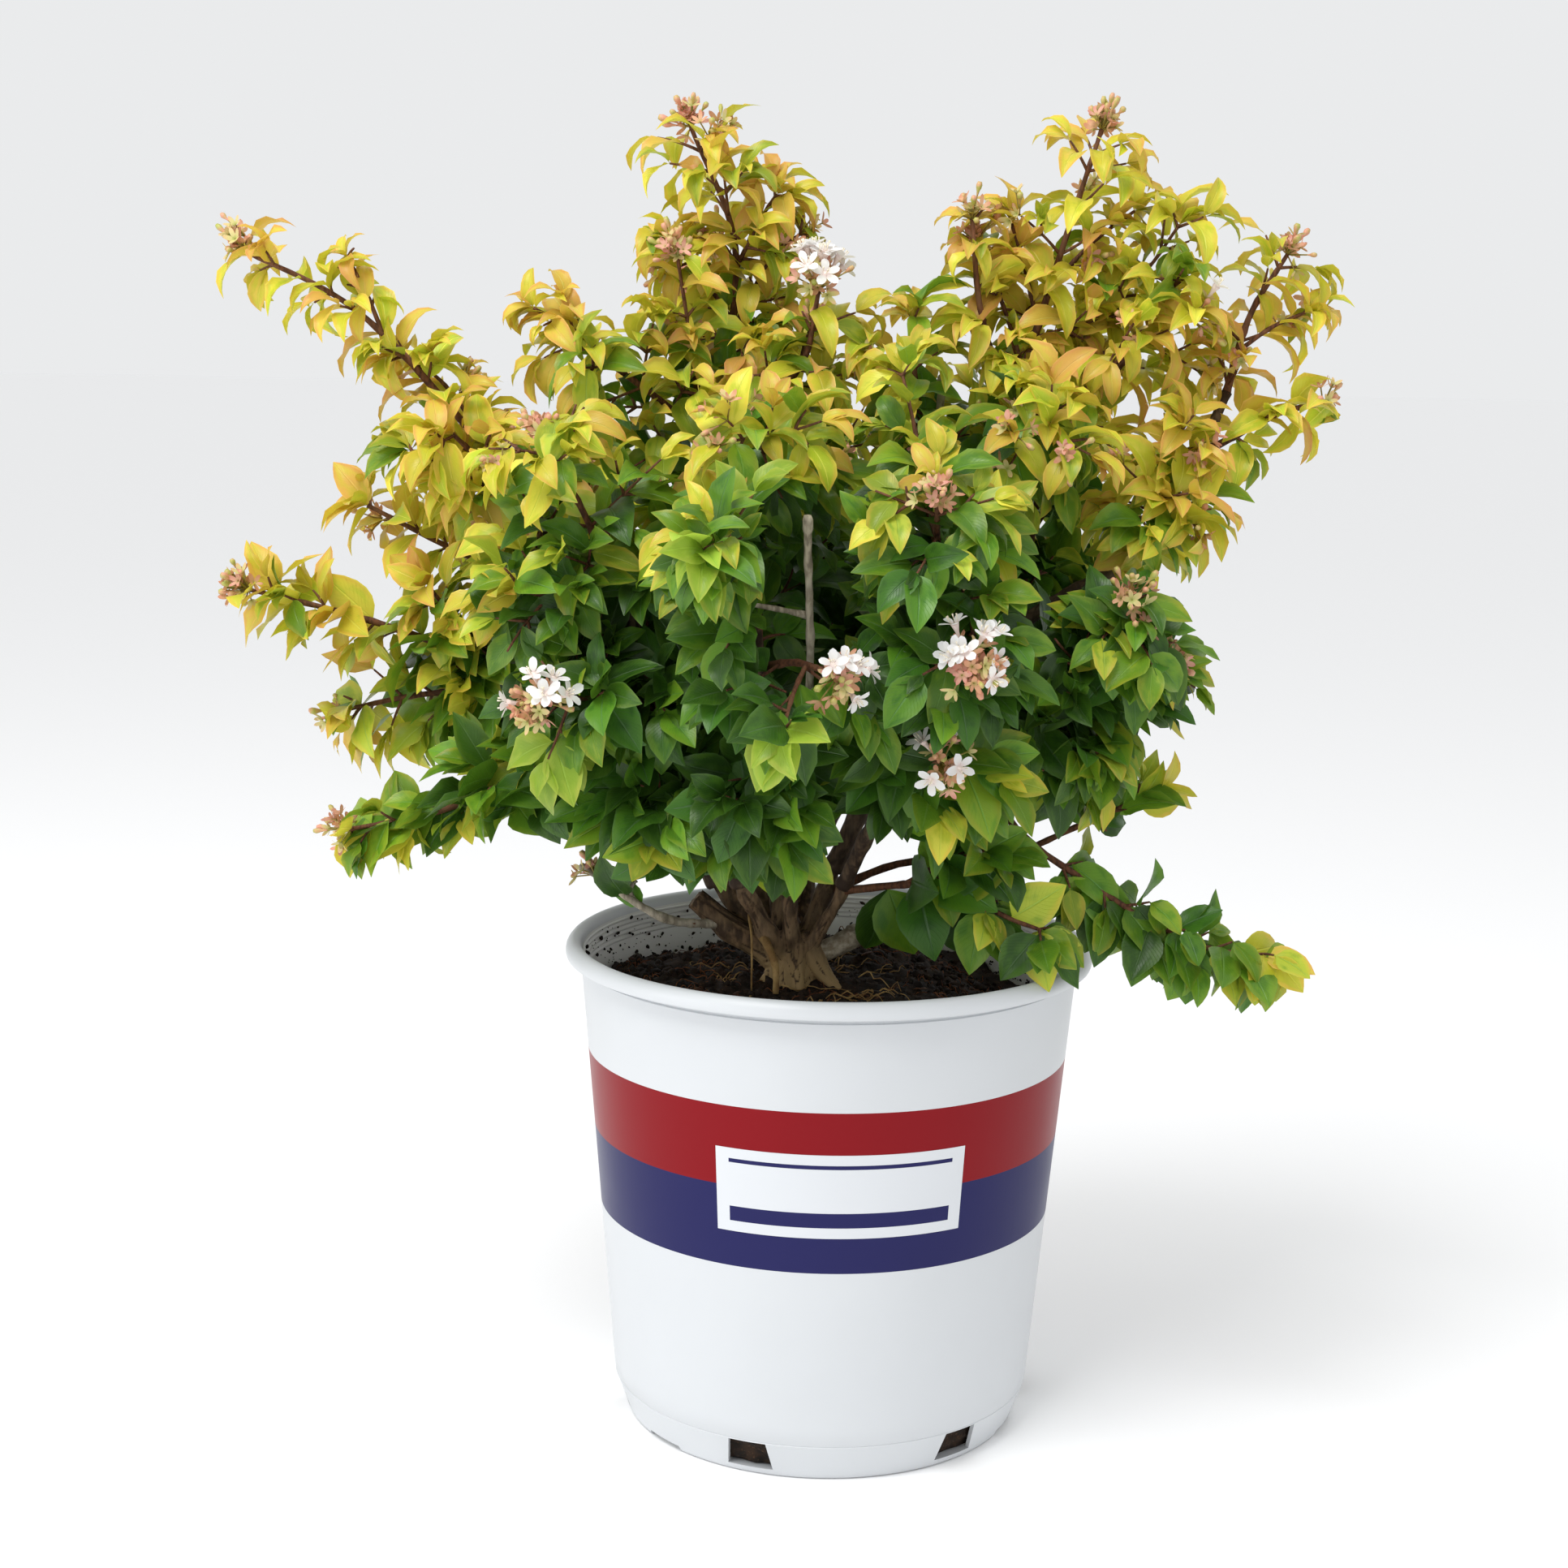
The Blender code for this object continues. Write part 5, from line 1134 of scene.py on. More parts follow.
def closest_between(a0, a1, b0, b1):
    """The two nearest points of two straight stretches."""
    u, v, w = a1 - a0, b1 - b0, a0 - b0
    a, b, c, d, e = u @ u, u @ v, v @ v, u @ w, v @ w
    gap = a * c - b * b
    s = min(1.0, max(0.0, (b * e - c * d) / gap)) if gap > 1e-12 else 0.0
    t = min(1.0, max(0.0, (b * s + e) / c))
    s = min(1.0, max(0.0, (b * t - d) / a))
    return a0 + u * s, b0 + v * t


def planes_of(name):
    """Planes (normals, offsets) that bound a mass: midway to each of the others, plus a slack."""
    here = (stems[name].at(MASSES[name][5])[0], stems[name].path[-1])
    normals, offsets = [], []
    for other in MASSES:
        if other == name:
            continue
        near, far = closest_between(*here, stems[other].at(MASSES[other][5])[0], stems[other].path[-1])
        share = MASSES[name][4] / (MASSES[name][4] + MASSES[other][4])
        normals.append(unit(far - near))
        offsets.append(normals[-1] @ (near + (far - near) * share) + PLANE_SLACK)
    return np.array(normals), np.array(offsets)


def upright(forward):
    """The direction nearest to straight up that is square to forward."""
    level = np.array([0.0, 0.0, 1.0]) - forward * forward[2]
    if np.linalg.norm(level) < 0.2:
        level = np.array([0.0, 1.0, 0.0]) - forward * forward[1]
    return unit(level)


def pair_sides(direction, turn):
    """Two opposite directions square to a stem, turned about it."""
    first = upright(direction)
    second = np.cross(direction, first)
    out = first * math.cos(turn) + second * math.sin(turn)
    return out, -out


class Space:
    """The room round one stem where its twigs and leaves may grow."""

    def __init__(self, mass, clustered, stem, half_width, bare, planes, lowest, number):
        self.mass = mass
        self.low = mass in LOW_SHOOTS
        self.reach = half_width * REACHES.get(mass, REACH_SLACK)
        self.ahead = unit(stem.path[-1] - stem.path[-3])
        self.clustered = clustered
        self.stem = stem
        self.half_width = half_width
        self.bare = bare
        self.normals, self.offsets = planes
        self.lowest = lowest
        self.rng = np.random.default_rng([29, number])
        rivals = [limb for limb in [*limbs.values(), *stems.values()] if limb is not stem]
        spots = np.concatenate([limb.path for limb in rivals])
        radii = np.concatenate([limb.radii for limb in rivals])
        close = np.linalg.norm(spots[:, None] - stem.path[None], axis=2).min(axis=1) < RIVAL_ROOM
        self.limb_points, self.limb_radii = spots[close], radii[close]

    def holds(self, points):
        """Whether points lie in the room: off the pot and the mix, clear of the blossom and of the bare
        front cane, between the planes, in reach."""
        radius = np.hypot(points[:, 0], points[:, 1])
        by_wall = (radius > RIM_ZONE[0]) & (radius < RIM_ZONE[1])
        off_mix = (radius > RIM_ZONE[1]) | (points[:, 2] > MIX_CLEAR)
        clear = np.where(by_wall, points[:, 2] > RIM_CLEAR, off_mix)
        if not clear.all() or points[:, 2].min() < self.lowest:
            return False
        if (np.linalg.norm(points[:, None] - bloom_spots[None], axis=2) < BLOOM_ROOM).any():
            return False
        if ((points > CANE_WINDOW[0]) & (points < CANE_WINDOW[1])).all(axis=1).any():
            return False
        if not (points @ self.normals.T <= self.offsets).all():
            return False
        if self.clustered and ((points - self.stem.path[-1]) @ self.ahead).max() > BUD_ROOM:
            return False
        gaps = np.linalg.norm(points[:, None] - self.stem.path[None], axis=2).min(axis=1)
        return gaps.max() <= self.reach

    def off_limbs(self, points):
        gaps = np.linalg.norm(points[:, None] - self.limb_points[None], axis=2)
        return (gaps > self.limb_radii + LEAF_ROOM).all()


stems = {}
for table, radii in ((MASSES, STEM_RADII), (SHOOTS, SHOOT_RADII)):
    for name, (parent, share, passed, tip, half_width, _) in table.items():
        carrier = limbs[parent] if parent in limbs else stems[parent]
        behind = np.array(passed[-1]) if passed else carrier.at(share)[0]
        end = np.array(tip) - unit(np.array(tip) - behind) * stem_gap(name, half_width)
        stems[name] = limb_between(carrier, share, passed, end, *radii, STEM_STATIONS)

bloom_spots = np.array([
    stems[name].path[-1] + unit(stems[name].path[-1] - CROWN_MIDDLE) * BLOOM_AHEAD for name in BLOOM_MASSES
])
leaves = []
twigs = []
sprays = []


def highness(height):
    """0 for the old leaves low down, 1 for the young ones of the top."""
    return min(1.0, max(0.0, (height - HIGH_START) / HIGH_SPAN))


def add_leaf(space, point, direction, out, length, youth):
    """A leaf that leans forward from its node, its face turned up and out of the crown. A young one
    high up starts level and arches over; an old one low down hangs."""
    rng = space.rng
    high = highness(point[2])
    for attempt in range(LEAF_TRIES):
        spread = 0.95 + rng.normal(0, 0.16 + 0.08 * attempt)
        heading = unit(out * math.sin(spread) + direction * math.cos(spread) + rng.normal(0, 0.12, 3))
        drop = rng.uniform(0.0, 1.3) if space.low else 0.0
        heading = unit(heading + np.array([0.0, 0.0, -0.24 + 0.34 * high - drop]))
        outward = point - CROWN_MIDDLE
        outward[2] *= 0.3
        if space.low or point[1] < 0.03:
            outward[1] -= 0.34 if space.low else 0.11
        face = np.array([0.0, 0.0, 0.65 + 0.35 * high]) + unit(outward) * (0.95 - 0.45 * high)
        face = face + rng.normal(0, 0.33, 3)
        face = face - heading * (face @ heading)
        if np.linalg.norm(face) < 0.15:
            continue
        face = unit(face)
        size = length * (1 - 0.07 * attempt)
        side = np.cross(heading, face)
        middle = point + heading * size * 0.45
        tip = point + heading * size * (0.95 - 0.25 * high) - face * size * (0.15 + 0.4 * high)
        spots = np.array([middle, middle + side * size * 0.25, middle - side * size * 0.25, tip])
        if space.holds(spots) and space.off_limbs(spots):
            leaves.append((space.mass, point, heading, face, size, youth, len(sprays) - 1))
            return


def add_twig(space, point, direction, out, reach):
    """A thin twig that leaves the stem at about 50 degrees and bends, shortened until it fits."""
    rng = space.rng
    heading = unit(out * 0.80 + direction * 0.60 + rng.normal(0, 0.12, 3))
    bend = np.array([0.0, 0.0, rng.normal(-0.05, 0.10)]) + rng.normal(0, 0.06, 3)
    run = np.linspace(0, 1, TWIG_STATIONS)[:, None]
    for share in (1.0, 0.75, 0.5):
        path = point + reach * share * (heading * run + bend * run**2)
        if space.holds(path[2:]) and space.off_limbs(path[2:]):
            return Limb(path, np.linspace(*TWIG_RADII, TWIG_STATIONS))
    return None


def leafy(space, twig, length, first):
    """Opposite pairs of leaves along a twig, a tuft of young ones at its tip, and on a long twig
    a pair of short twigs of its own. A twig that gets no leaf is left out."""
    rng = space.rng
    before = len(leaves)
    sprays.append(twig.path[-1])
    high = highness(twig.path[-1][2])
    pairs = max(1, round(twig.length() * (1 - first) / (LEAF_STEP * (1 + HIGH_STRETCH * high))))
    turn = rng.random() * math.pi
    for i in range(pairs):
        share = first + (0.94 - first) * (i + 0.3) / pairs
        point, direction, _ = twig.at(share)
        size = length * (1.06 - 0.30 * share) * rng.uniform(0.78, 1.08)
        for out in pair_sides(direction, turn):
            add_leaf(space, point, direction, out, size, share)
        turn += math.pi / 2 + rng.normal(0, 0.15)
    tip, direction, _ = twig.at(1.0)
    for step, size in ((0, 0.72), (1, 0.45))[: rng.integers(1, 3)]:
        for out in pair_sides(direction, turn + step * math.pi / 2):
            forward = unit(out * (0.55 - 0.15 * step) + direction * 0.8)
            add_leaf(space, tip, direction, forward, length * size * rng.uniform(0.8, 1.1), 1.15)
    if len(leaves) > before:
        twigs.append(twig)
    if twig.length() < SIDE_TWIG:
        return
    point, direction, _ = twig.at(0.5)
    for out in pair_sides(direction, turn + 1.0):
        short = add_twig(space, point, direction, out, twig.length() * 0.42 * rng.uniform(0.7, 1.1))
        if short is not None:
            leafy(space, short, length * 0.88, 0.45)


def leaf_length(height):
    return float(np.interp(height, LEAF_HEIGHTS, LEAF_LENGTHS))


def grow(space, node_step):
    """Nodes along a stem, each turned from the last. A full mass has leafy twigs in opposite
    pairs, and a slim one has pairs of leaves with short twigs between them."""
    rng = space.rng
    stem = space.stem
    slim = space.half_width < SLIM_MASS
    node_step = node_step * (1 + HIGH_STRETCH * highness(stem.path[-1][2]))
    nodes = max(3, round(stem.length() * (1 - space.bare) / node_step))
    last_share = 0.90 if space.clustered and not slim else 0.985
    turn = rng.random() * math.pi
    for i in range(nodes + 1):
        share = min(last_share, space.bare + (1 - space.bare) * i / nodes)
        point, direction, _ = stem.at(share)
        length = leaf_length(point[2])
        turn += math.pi / 2 + rng.normal(0, 0.2)
        for out in pair_sides(direction, turn):
            sprays.append(point)
            room = (space.half_width - length * 0.5) * (1.30 - 0.65 * share) * rng.uniform(0.65, 1.05)
            if slim:
                add_leaf(space, point, direction, out, length * (1.1 - 0.3 * share), share)
                room = max(0.010, room) if rng.random() < 0.55 else 0.0
            twig = add_twig(space, point, direction, out, room) if room > 0 else None
            if twig is not None:
                leafy(space, twig, length * (0.85 if slim else 1.0), 0.22)
            elif not slim:
                add_leaf(space, point, direction, out, length, share)
    tip, direction, _ = stem.at(1.0)
    sprays.append(tip)
    for step in range(0 if space.clustered else 3):
        for out in pair_sides(direction, turn + step * math.pi / 2):
            size = leaf_length(tip[2]) * (0.75 - 0.15 * step)
            add_leaf(space, tip, direction, unit(out * 0.6 + direction * 0.5), size, 1.1)


free = (np.zeros((0, 3)), np.zeros(0))
for name, (_, _, _, _, half_width, bare) in MASSES.items():
    clustered = name in TIP_CLUSTERS or name in BLOOM_MASSES
    planes = free if name in LOW_SHOOTS else planes_of(name)
    lowest = FLOORS.get(name, 0.0)
    space = Space(name, clustered, stems[name], half_width, bare, planes, lowest, len(sprays))
    grow(space, LOW_SHOOTS.get(name, SLIM_STEP if half_width < SLIM_MASS else FULL_STEP))
for name, (_, _, _, _, half_width, bare) in SHOOTS.items():
    space = Space(None, name in TIP_CLUSTERS, stems[name], half_width, bare, free, 0.0, len(sprays))
    grow(space, SLIM_STEP)
# The canes have infill twigs of their own, except the long arm on the right.
for name in live_canes:
    if name == "cane_right_arm":
        continue
    space = Space(None, False, limbs[name], INFILL_WIDTH, INFILL_START, free, INFILL_FLOOR, len(sprays))
    grow(space, INFILL_STEP)

young_wood = bark("young_wood", tint(74, 46, 32), tint(112, 70, 48), tint(138, 98, 70), 700.0)
stem_points, stem_blocks = tubes(
    np.array([stem.path for stem in stems.values()]),
    np.array([with_nodes(stem, STEM_NODE_STEP, STEM_SWELLING) for stem in stems.values()]), 7,
)
stem_piece = shaped("foliage_stems", stem_points, stem_blocks, [young_wood])
keep_relief(stem_piece, np.full(len(stem_points), SMOOTH_WOOD))
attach(stem_piece, "root")
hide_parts(*MASSES)
twig_points, twig_blocks = tubes(
    np.array([twig.path for twig in twigs]), np.array([twig.radii for twig in twigs]), 5,
)
twig_piece = shaped("foliage_twigs", twig_points, twig_blocks, [young_wood])
keep_relief(twig_piece, np.full(len(twig_points), SMOOTH_WOOD))
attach(twig_piece, "root")

# Leaves. Glossy ovate leaves that narrow to a drawn-out tip, folded along a pale midrib and arched
# so that the tips hang. Deep green inside and low down, they turn through yellow-green to gold and
# copper towards the top and the shoot tips; the deeper tints inside the crown are partly painted
# shade. Each tint is a piece, dealt out by spray.
TINTS = (
    ("deep_green", (46, 82, 24), (64, 104, 28), (78, 114, 32)),
    ("forest_green", (60, 104, 26), (86, 128, 32), (102, 136, 36)),
    ("leaf_green", (80, 126, 30), (110, 150, 38), (130, 150, 42)),
    ("fresh_green", (104, 148, 34), (140, 168, 44), (168, 162, 50)),
    ("yellow_green", (142, 168, 46), (184, 194, 60), (212, 176, 66)),
    ("soft_yellow", (198, 204, 54), (226, 218, 78), (238, 184, 72)),
    ("gold", (228, 216, 72), (192, 204, 56), (242, 172, 80)),
    ("amber", (238, 206, 86), (212, 206, 66), (238, 146, 88)),
    ("copper", (230, 180, 90), (220, 196, 78), (220, 118, 90)),
    ("lime", (146, 182, 54), (174, 200, 70), (196, 200, 84)),
)
LIME = len(TINTS) - 1
LIME_PLACES = ((-0.025, -0.180, 0.497), (-0.112, -0.150, 0.345))
LIME_SHOOTS = ("front_sprig", "low_front_sprig")
SAME_PLACE = 0.002
GOLD_PLACES = (-0.25, -0.19, -0.13, 0.0, 0.10, 0.16, 0.22)
GOLD_LINE = (0.42, 0.455, 0.498, 0.509, 0.500, 0.480, 0.45)
SPRAY_SHIFT = 0.145
LEAF_SHIFT = 0.085
MOST_LEAVES = 2600
ATLAS = 3
ATLAS_MARGIN = 0.04
LEAF_RUN = np.array([0.0, 0.05, 0.085, 0.16, 0.27, 0.40, 0.55, 0.72, 0.87, 1.0])
LEAF_ACROSS = np.array([-1.0, -0.52, 0.0, 0.52, 1.0])
LEAF_HALF_WIDTH = 0.290
SLENDER_SPAN = 0.16
BROAD_TOP = 0.36
BROAD_SPAN = 0.06


def leaf_finish(name, base, second, tip_colour, thinness):
    """A glossy leaf. The map holds a table of leaf faces, and each cell has its own tone and
    splashes: midrib and side veins are pale, the margin is pale, and the tip takes a colour."""
    finish = Finish(name, {"IOR": 1.45, "Specular IOR Level": 0.45})
    spot = finish.node("ShaderNodeUVMap", {"uv_map": "OFBake"}, {})
    run_place, across_place, _ = finish.parts(spot)
    run_place = run_place * ATLAS
    across_place = across_place * ATLAS
    run = (finish.math("FRACT", run_place) - ATLAS_MARGIN) / (1 - 2 * ATLAS_MARGIN)
    across = finish.math("ABSOLUTE", finish.math("FRACT", across_place) - 0.5) / (0.5 - ATLAS_MARGIN)
    cell = finish.node("ShaderNodeCombineXYZ", {}, {
        0: finish.math("FLOOR", run_place), 1: finish.math("FLOOR", across_place), 2: float(len(name)),
    })
    tone = finish.node("ShaderNodeTexWhiteNoise", {"noise_dimensions": "3D"}, {"Vector": cell}, "Value")
    clouds = finish.noise(spot, 9.0, 4.0)
    splash = finish.step(clouds + tone * 0.25, 0.52, 0.72)
    colour = finish.mix(splash, tint(*base), tint(*second))
    margin = finish.step(across + run * 0.5 + clouds * 0.6, 1.05, 1.75)
    colour = finish.mix(margin * 0.75, colour, tint(*tip_colour))
    veins = finish.math("ABSOLUTE", finish.math("SINE", (run - across * 0.30) * 44.0))
    vein_lines = 1.0 - finish.step(veins, 0.02, 0.20)
    pale = tuple(min(1.0, part * 1.35 + 0.045) for part in tint(*base)[:3])
    rib = 1.0 - finish.step(across, 0.015, 0.075)
    edge = finish.step(across, 0.86, 0.99)
    marks = finish.math("MAXIMUM", rib * 0.75, finish.math("MAXIMUM", edge * 0.45, vein_lines * 0.16))
    shaded = finish.node("ShaderNodeHueSaturation", {}, {
        "Hue": tone * 0.020 + 0.490, "Value": tone * 0.32 + 0.86,
        "Color": finish.mix(marks, colour, (*pale, 1.0)),
    })
    finish.feed("Base Color", shaded)
    finish.feed("Roughness", finish.noise(spot, 24.0) * 0.14 + 0.27)
    finish.bump(clouds * 0.5 - vein_lines * 0.25 - rib * 0.8, 0.55, 0.0009)
    finish.let_light_through(thinness, tint(*second))
    return finish


def blade_width(run):
    """Half width along a blade: a thin stalk, then s**0.65 (1 - s)**1.05 scaled to 1 at its widest."""
    s = np.clip((run - 0.065) / 0.935, 0, 1)
    blade = s**0.65 * (1 - s) ** 1.05 / 0.3246
    return np.maximum(blade, np.where(run < 0.5, 0.05, 0.018))


def blades(roots, forwards, faces_up, lengths, widths, bends, folds, waves, run, across, outline):
    """Blades (n, run, across, 3), as wide as their outline at each station of the run. The midrib
    starts forward and turns down by bend times the power 1.25 of its share, both halves rise from
    it by the fold, and a wave lifts the margin."""
    sides = np.cross(forwards, faces_up)
    angle = bends[:, None] * run**1.25
    between = (angle[:, 1:] + angle[:, :-1]) / 2
    steps = (lengths[:, None] * np.diff(run))[..., None]
    level = np.cos(between)[..., None] * forwards[:, None]
    moves = steps * (level - np.sin(between)[..., None] * faces_up[:, None])
    midrib = roots[:, None] + np.concatenate([np.zeros_like(moves[:, :1]), np.cumsum(moves, axis=1)], axis=1)
    normal = np.cos(angle)[..., None] * faces_up[:, None] + np.sin(angle)[..., None] * forwards[:, None]
    width = (lengths * widths)[:, None] * outline
    out = across[None, None] * width[..., None]
    wave = waves[:, None, None] * lengths[:, None, None] * across[None, None] ** 2
    wave = wave * np.sin(run[None, :, None] * 9.0 + 40.0 * waves[:, None, None] + across[None, None])
    rise = np.abs(out) * np.sin(folds)[:, None, None] + wave * outline[None, :, None]
    return (
        midrib[:, :, None] + out[..., None] * np.cos(folds)[:, None, None, None] * sides[:, None, None]
        + rise[..., None] * normal[:, :, None]
    )


def mapped(obj, coordinates):
    """Gives a piece its own map, one pair of numbers for each point."""
    chart = obj.data.uv_layers.new(name="OFBake")
    corner = np.empty(len(obj.data.loops), np.int32)
    obj.data.loops.foreach_get("vertex_index", corner)
    chart.data.foreach_set("uv", coordinates[corner].astype(np.float32).ravel())


def many_blades(name, sheets, run, across, finish, rng):
    """One piece of many blades, each mapped onto a cell of the finish's table."""
    count = len(sheets)
    faces = repeated(grid_faces(len(run), len(across)), count, len(run) * len(across))
    piece = shaped(name, sheets.reshape(-1, 3), [faces], [finish])
    along, over = np.meshgrid(run, (across + 1) / 2, indexing="ij")
    chart = ATLAS_MARGIN + (1 - 2 * ATLAS_MARGIN) * np.stack([along, over], axis=-1).reshape(-1, 2)
    mapped(piece, ((chart[None] + rng.integers(0, ATLAS, (count, 1, 2))) / ATLAS).reshape(-1, 2))
    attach(piece, "root")
    return piece


def gold_of(points, youth):
    """How far a leaf has turned, 0 to 1: more with height, soonest at the left and right, and more
    towards a twig's tip and the outside of the crown. Leaves near the middle of the crown are held to darker
    green tints, partly their own colour and partly painted shade."""
    x, y, z = points.T
    line = np.interp(x, GOLD_PLACES, GOLD_LINE)
    above = np.clip(z - line, -0.11, 0.2)
    side = np.clip((np.abs(x) - 0.14) / 0.10, 0, 1) * np.where(x < 0, 0.38, 0.26)
    low_right = (z < 0.39) & (x > 0.05)
    low_left = (z < 0.37) & (x < -0.07)
    low = np.select([low_right & (z < 0.32), low_right, low_left], [0.31, 0.40, 0.20], 0.08)
    low = low - 0.12 * np.clip((-0.06 - y) / 0.08, 0, 1) * ((z > 0.40) & (z < 0.52))
    low_share = np.minimum((0.40 - z) / 0.05, 0.65)
    young = 0.42 * np.clip(np.maximum(0.45 + 5 * (z - line + 0.11), low_share), 0.4, 1)
    # Painted shade, in part: leaves near the middle of the crown are dealt darker, greener tints.
    inner = 1 - np.clip(np.linalg.norm((points - CROWN_MIDDLE) / np.array([0.20, 0.15, 0.18]), axis=1), 0, 1)
    return np.clip(0.33 + above * 4.4 + young * (youth - 0.55) + side + low - 0.5 * inner, 0.03, 0.83)


leaf_rng = np.random.default_rng(77)
leaf_mass, *leaf_columns = zip(*leaves)
leaf_roots, leaf_forwards, leaf_faces_up, leaf_lengths, leaf_youth, leaf_sprays = map(np.array, leaf_columns)
spray_shift = leaf_rng.normal(0, SPRAY_SHIFT, len(sprays))
leaf_shift = leaf_rng.normal(0, LEAF_SHIFT, len(leaves))
gold = gold_of(leaf_roots, leaf_youth) + spray_shift[leaf_sprays] + leaf_shift
tint_index = np.clip(np.round(gold * (LIME - 1)), 0, LIME - 1).astype(int)
for place in [*LIME_PLACES, *(stems[name].path[-1] for name in LIME_SHOOTS)]:
    gaps = np.linalg.norm(np.array(sprays) - np.array(place), axis=1)
    tint_index[np.isin(leaf_sprays, np.flatnonzero(gaps < gaps.min() + SAME_PLACE))] = LIME
high = np.clip((leaf_roots[:, 2] - HIGH_START) / SLENDER_SPAN, 0, 1)
low = np.clip((BROAD_TOP - leaf_roots[:, 2]) / BROAD_SPAN, 0, 1)
leaf_sheets = blades(
    leaf_roots, leaf_forwards, leaf_faces_up, leaf_lengths,
    (LEAF_HALF_WIDTH - 0.070 * high + 0.045 * low) * leaf_rng.uniform(0.84, 1.08, len(leaves)),
    leaf_rng.uniform(0.25, 0.95, len(leaves)) + 1.15 * high,
    leaf_rng.uniform(0.10, 0.34, len(leaves)) + 0.18 * high,
    leaf_rng.uniform(0.02, 0.07, len(leaves)), LEAF_RUN, LEAF_ACROSS, blade_width(LEAF_RUN),
)
for number, (tint_name, base, second, tip_colour) in enumerate(TINTS):
    finish = leaf_finish(tint_name, base, second, tip_colour, 0.22 + 0.02 * number)
    chosen = np.flatnonzero(tint_index == number)
    for part, start in enumerate(range(0, len(chosen), MOST_LEAVES)):
        here = chosen[start : start + MOST_LEAVES]
        piece = many_blades(
            f"leaves_{tint_name}_{part}", leaf_sheets[here], LEAF_RUN, LEAF_ACROSS, finish, leaf_rng,
        )
        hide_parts(*sorted({leaf_mass[i] for i in here} - {None}))

# Blossom. Small white flowers, a thin tube with five spreading lobes and long stamens, stand in heads
# at the shoot ends among stars of cream and rose sepals, which stay when a flower has dropped.
# Clusters of sepals and buds sit at many shoot tips. All of it stands on thin stalks.
HEADS = {
    "foliage_top_bloom": (14, 14, 6),
    "foliage_front_left_bloom": (6, 20, 8),
    "foliage_front_mid": (5, 14, 5),
    "foliage_front_right_bloom": (9, 30, 8),
    "foliage_front_right_low": (5, 10, 12),
    "right_crest_side": (1, 3, 2),
}
CLUSTER_SHARE = 0.14
CLUSTER_HEIGHT = 0.46
TWIG_CLUSTER = 4
BUDS_TO_STARS = 0.6
FLOWER_TUBE = 0.0085
TUBE_RADII = np.array([0.0006, 0.0007, 0.0009, 0.0014, 0.0021])
MOUTH_RADIUS = 0.0014
LOBE_LENGTH = 0.0070
LOBE_LEAN = 1.05
LOBE_SHAPE = ((0.85, 1.1), (0.27, 0.33), (-0.9, 0.1), (-0.3, 0.0))
PETAL_RUN = np.array([0.0, 0.15, 0.4, 0.65, 0.85, 1.0])
PETAL_ACROSS = np.array([-1.0, 0.0, 1.0])
SEPAL_LENGTH = 0.0062
SEPAL_LEAN = 0.95
SEPAL_SHAPE = ((0.75, 1.15), (0.17, 0.23), (-0.4, 0.5), (-0.3, 0.1))
BUD_PROFILE = np.array([0.0004, 0.0006, 0.0009, 0.0016, 0.0019, 0.0012])
STAMEN_COUNT = 4
STAMEN_REACH = (0.70, 1.55)
STAMEN_RADII = (0.00012, 0.00012, 0.00012, 0.00016, 0.00042)
STALK_STATIONS = 4
STALK_RADIUS = 0.00040


def random_directions(axes, spread, rng):
    """Directions that lean from their axes (n, 3) by up to about the spread, all ways round."""
    return unit(axes + rng.normal(0, 1, axes.shape) * spread)


def petal_width(run):
    """Half width along a petal or sepal: (4 s (1 - s))**0.6 with s = run**1.2, on a narrow foot."""
    s = run**1.2
    return (4 * s * (1 - s)) ** 0.6 + 0.25 * (1 - run) ** 4 + 0.02


def petal_finish(name, foot, middle, tip, share):
    """A soft petal or sepal: one colour where it is fixed, another half way and a third at its tip,
    with faint clouds."""
    finish = Finish(name, {"Specular IOR Level": 0.3})
    spot = finish.node("ShaderNodeUVMap", {"uv_map": "OFBake"}, {})
    run = finish.math("FRACT", finish.parts(spot)[0] * ATLAS)
    clouds = finish.noise(spot, 6.0, 3.0)
    colour = finish.mix(finish.step(run + clouds * 0.3, 0.15, 0.55), tint(*foot), tint(*middle))
    finish.feed("Base Color", finish.mix(finish.step(run + clouds * 0.5, 0.65, 1.25), colour, tint(*tip)))
    finish.feed("Roughness", clouds * 0.15 + 0.42)
    finish.let_light_through(share, tint(*middle))
    return finish


def ring_of_five(roots, ways, lean, rng):
    """Five directions round each way, which lean out from it by the angle lean: their roots, their
    headings and the sides that face in."""
    first = unit(np.cross(ways, ways[:, [1, 2, 0]] + 0.3))
    second = np.cross(ways, first)
    turns = full_turn(5) + rng.uniform(0, 2, (len(roots), 1))
    out = np.cos(turns)[..., None] * first[:, None] + np.sin(turns)[..., None] * second[:, None]
    headings = ways[:, None] * math.cos(lean) + out * math.sin(lean)
    faces = ways[:, None] * math.sin(lean) - out * math.cos(lean)
    return np.repeat(roots, 5, axis=0), headings.reshape(-1, 3), faces.reshape(-1, 3)


def petal_sheets(rings, length, shape, rng):
    """Petals or sepals on rings of five. The shape gives the ranges from which each one draws its
    share of the length, its half width, its bend and its fold."""
    roots, ways, faces = rings
    shares, widths, bends, folds = (rng.uniform(*span, len(roots)) for span in shape)
    return blades(
        roots, ways, -faces, length * shares, widths, bends, folds, np.zeros(len(roots)), PETAL_RUN,
        PETAL_ACROSS, petal_width(PETAL_RUN),
    )


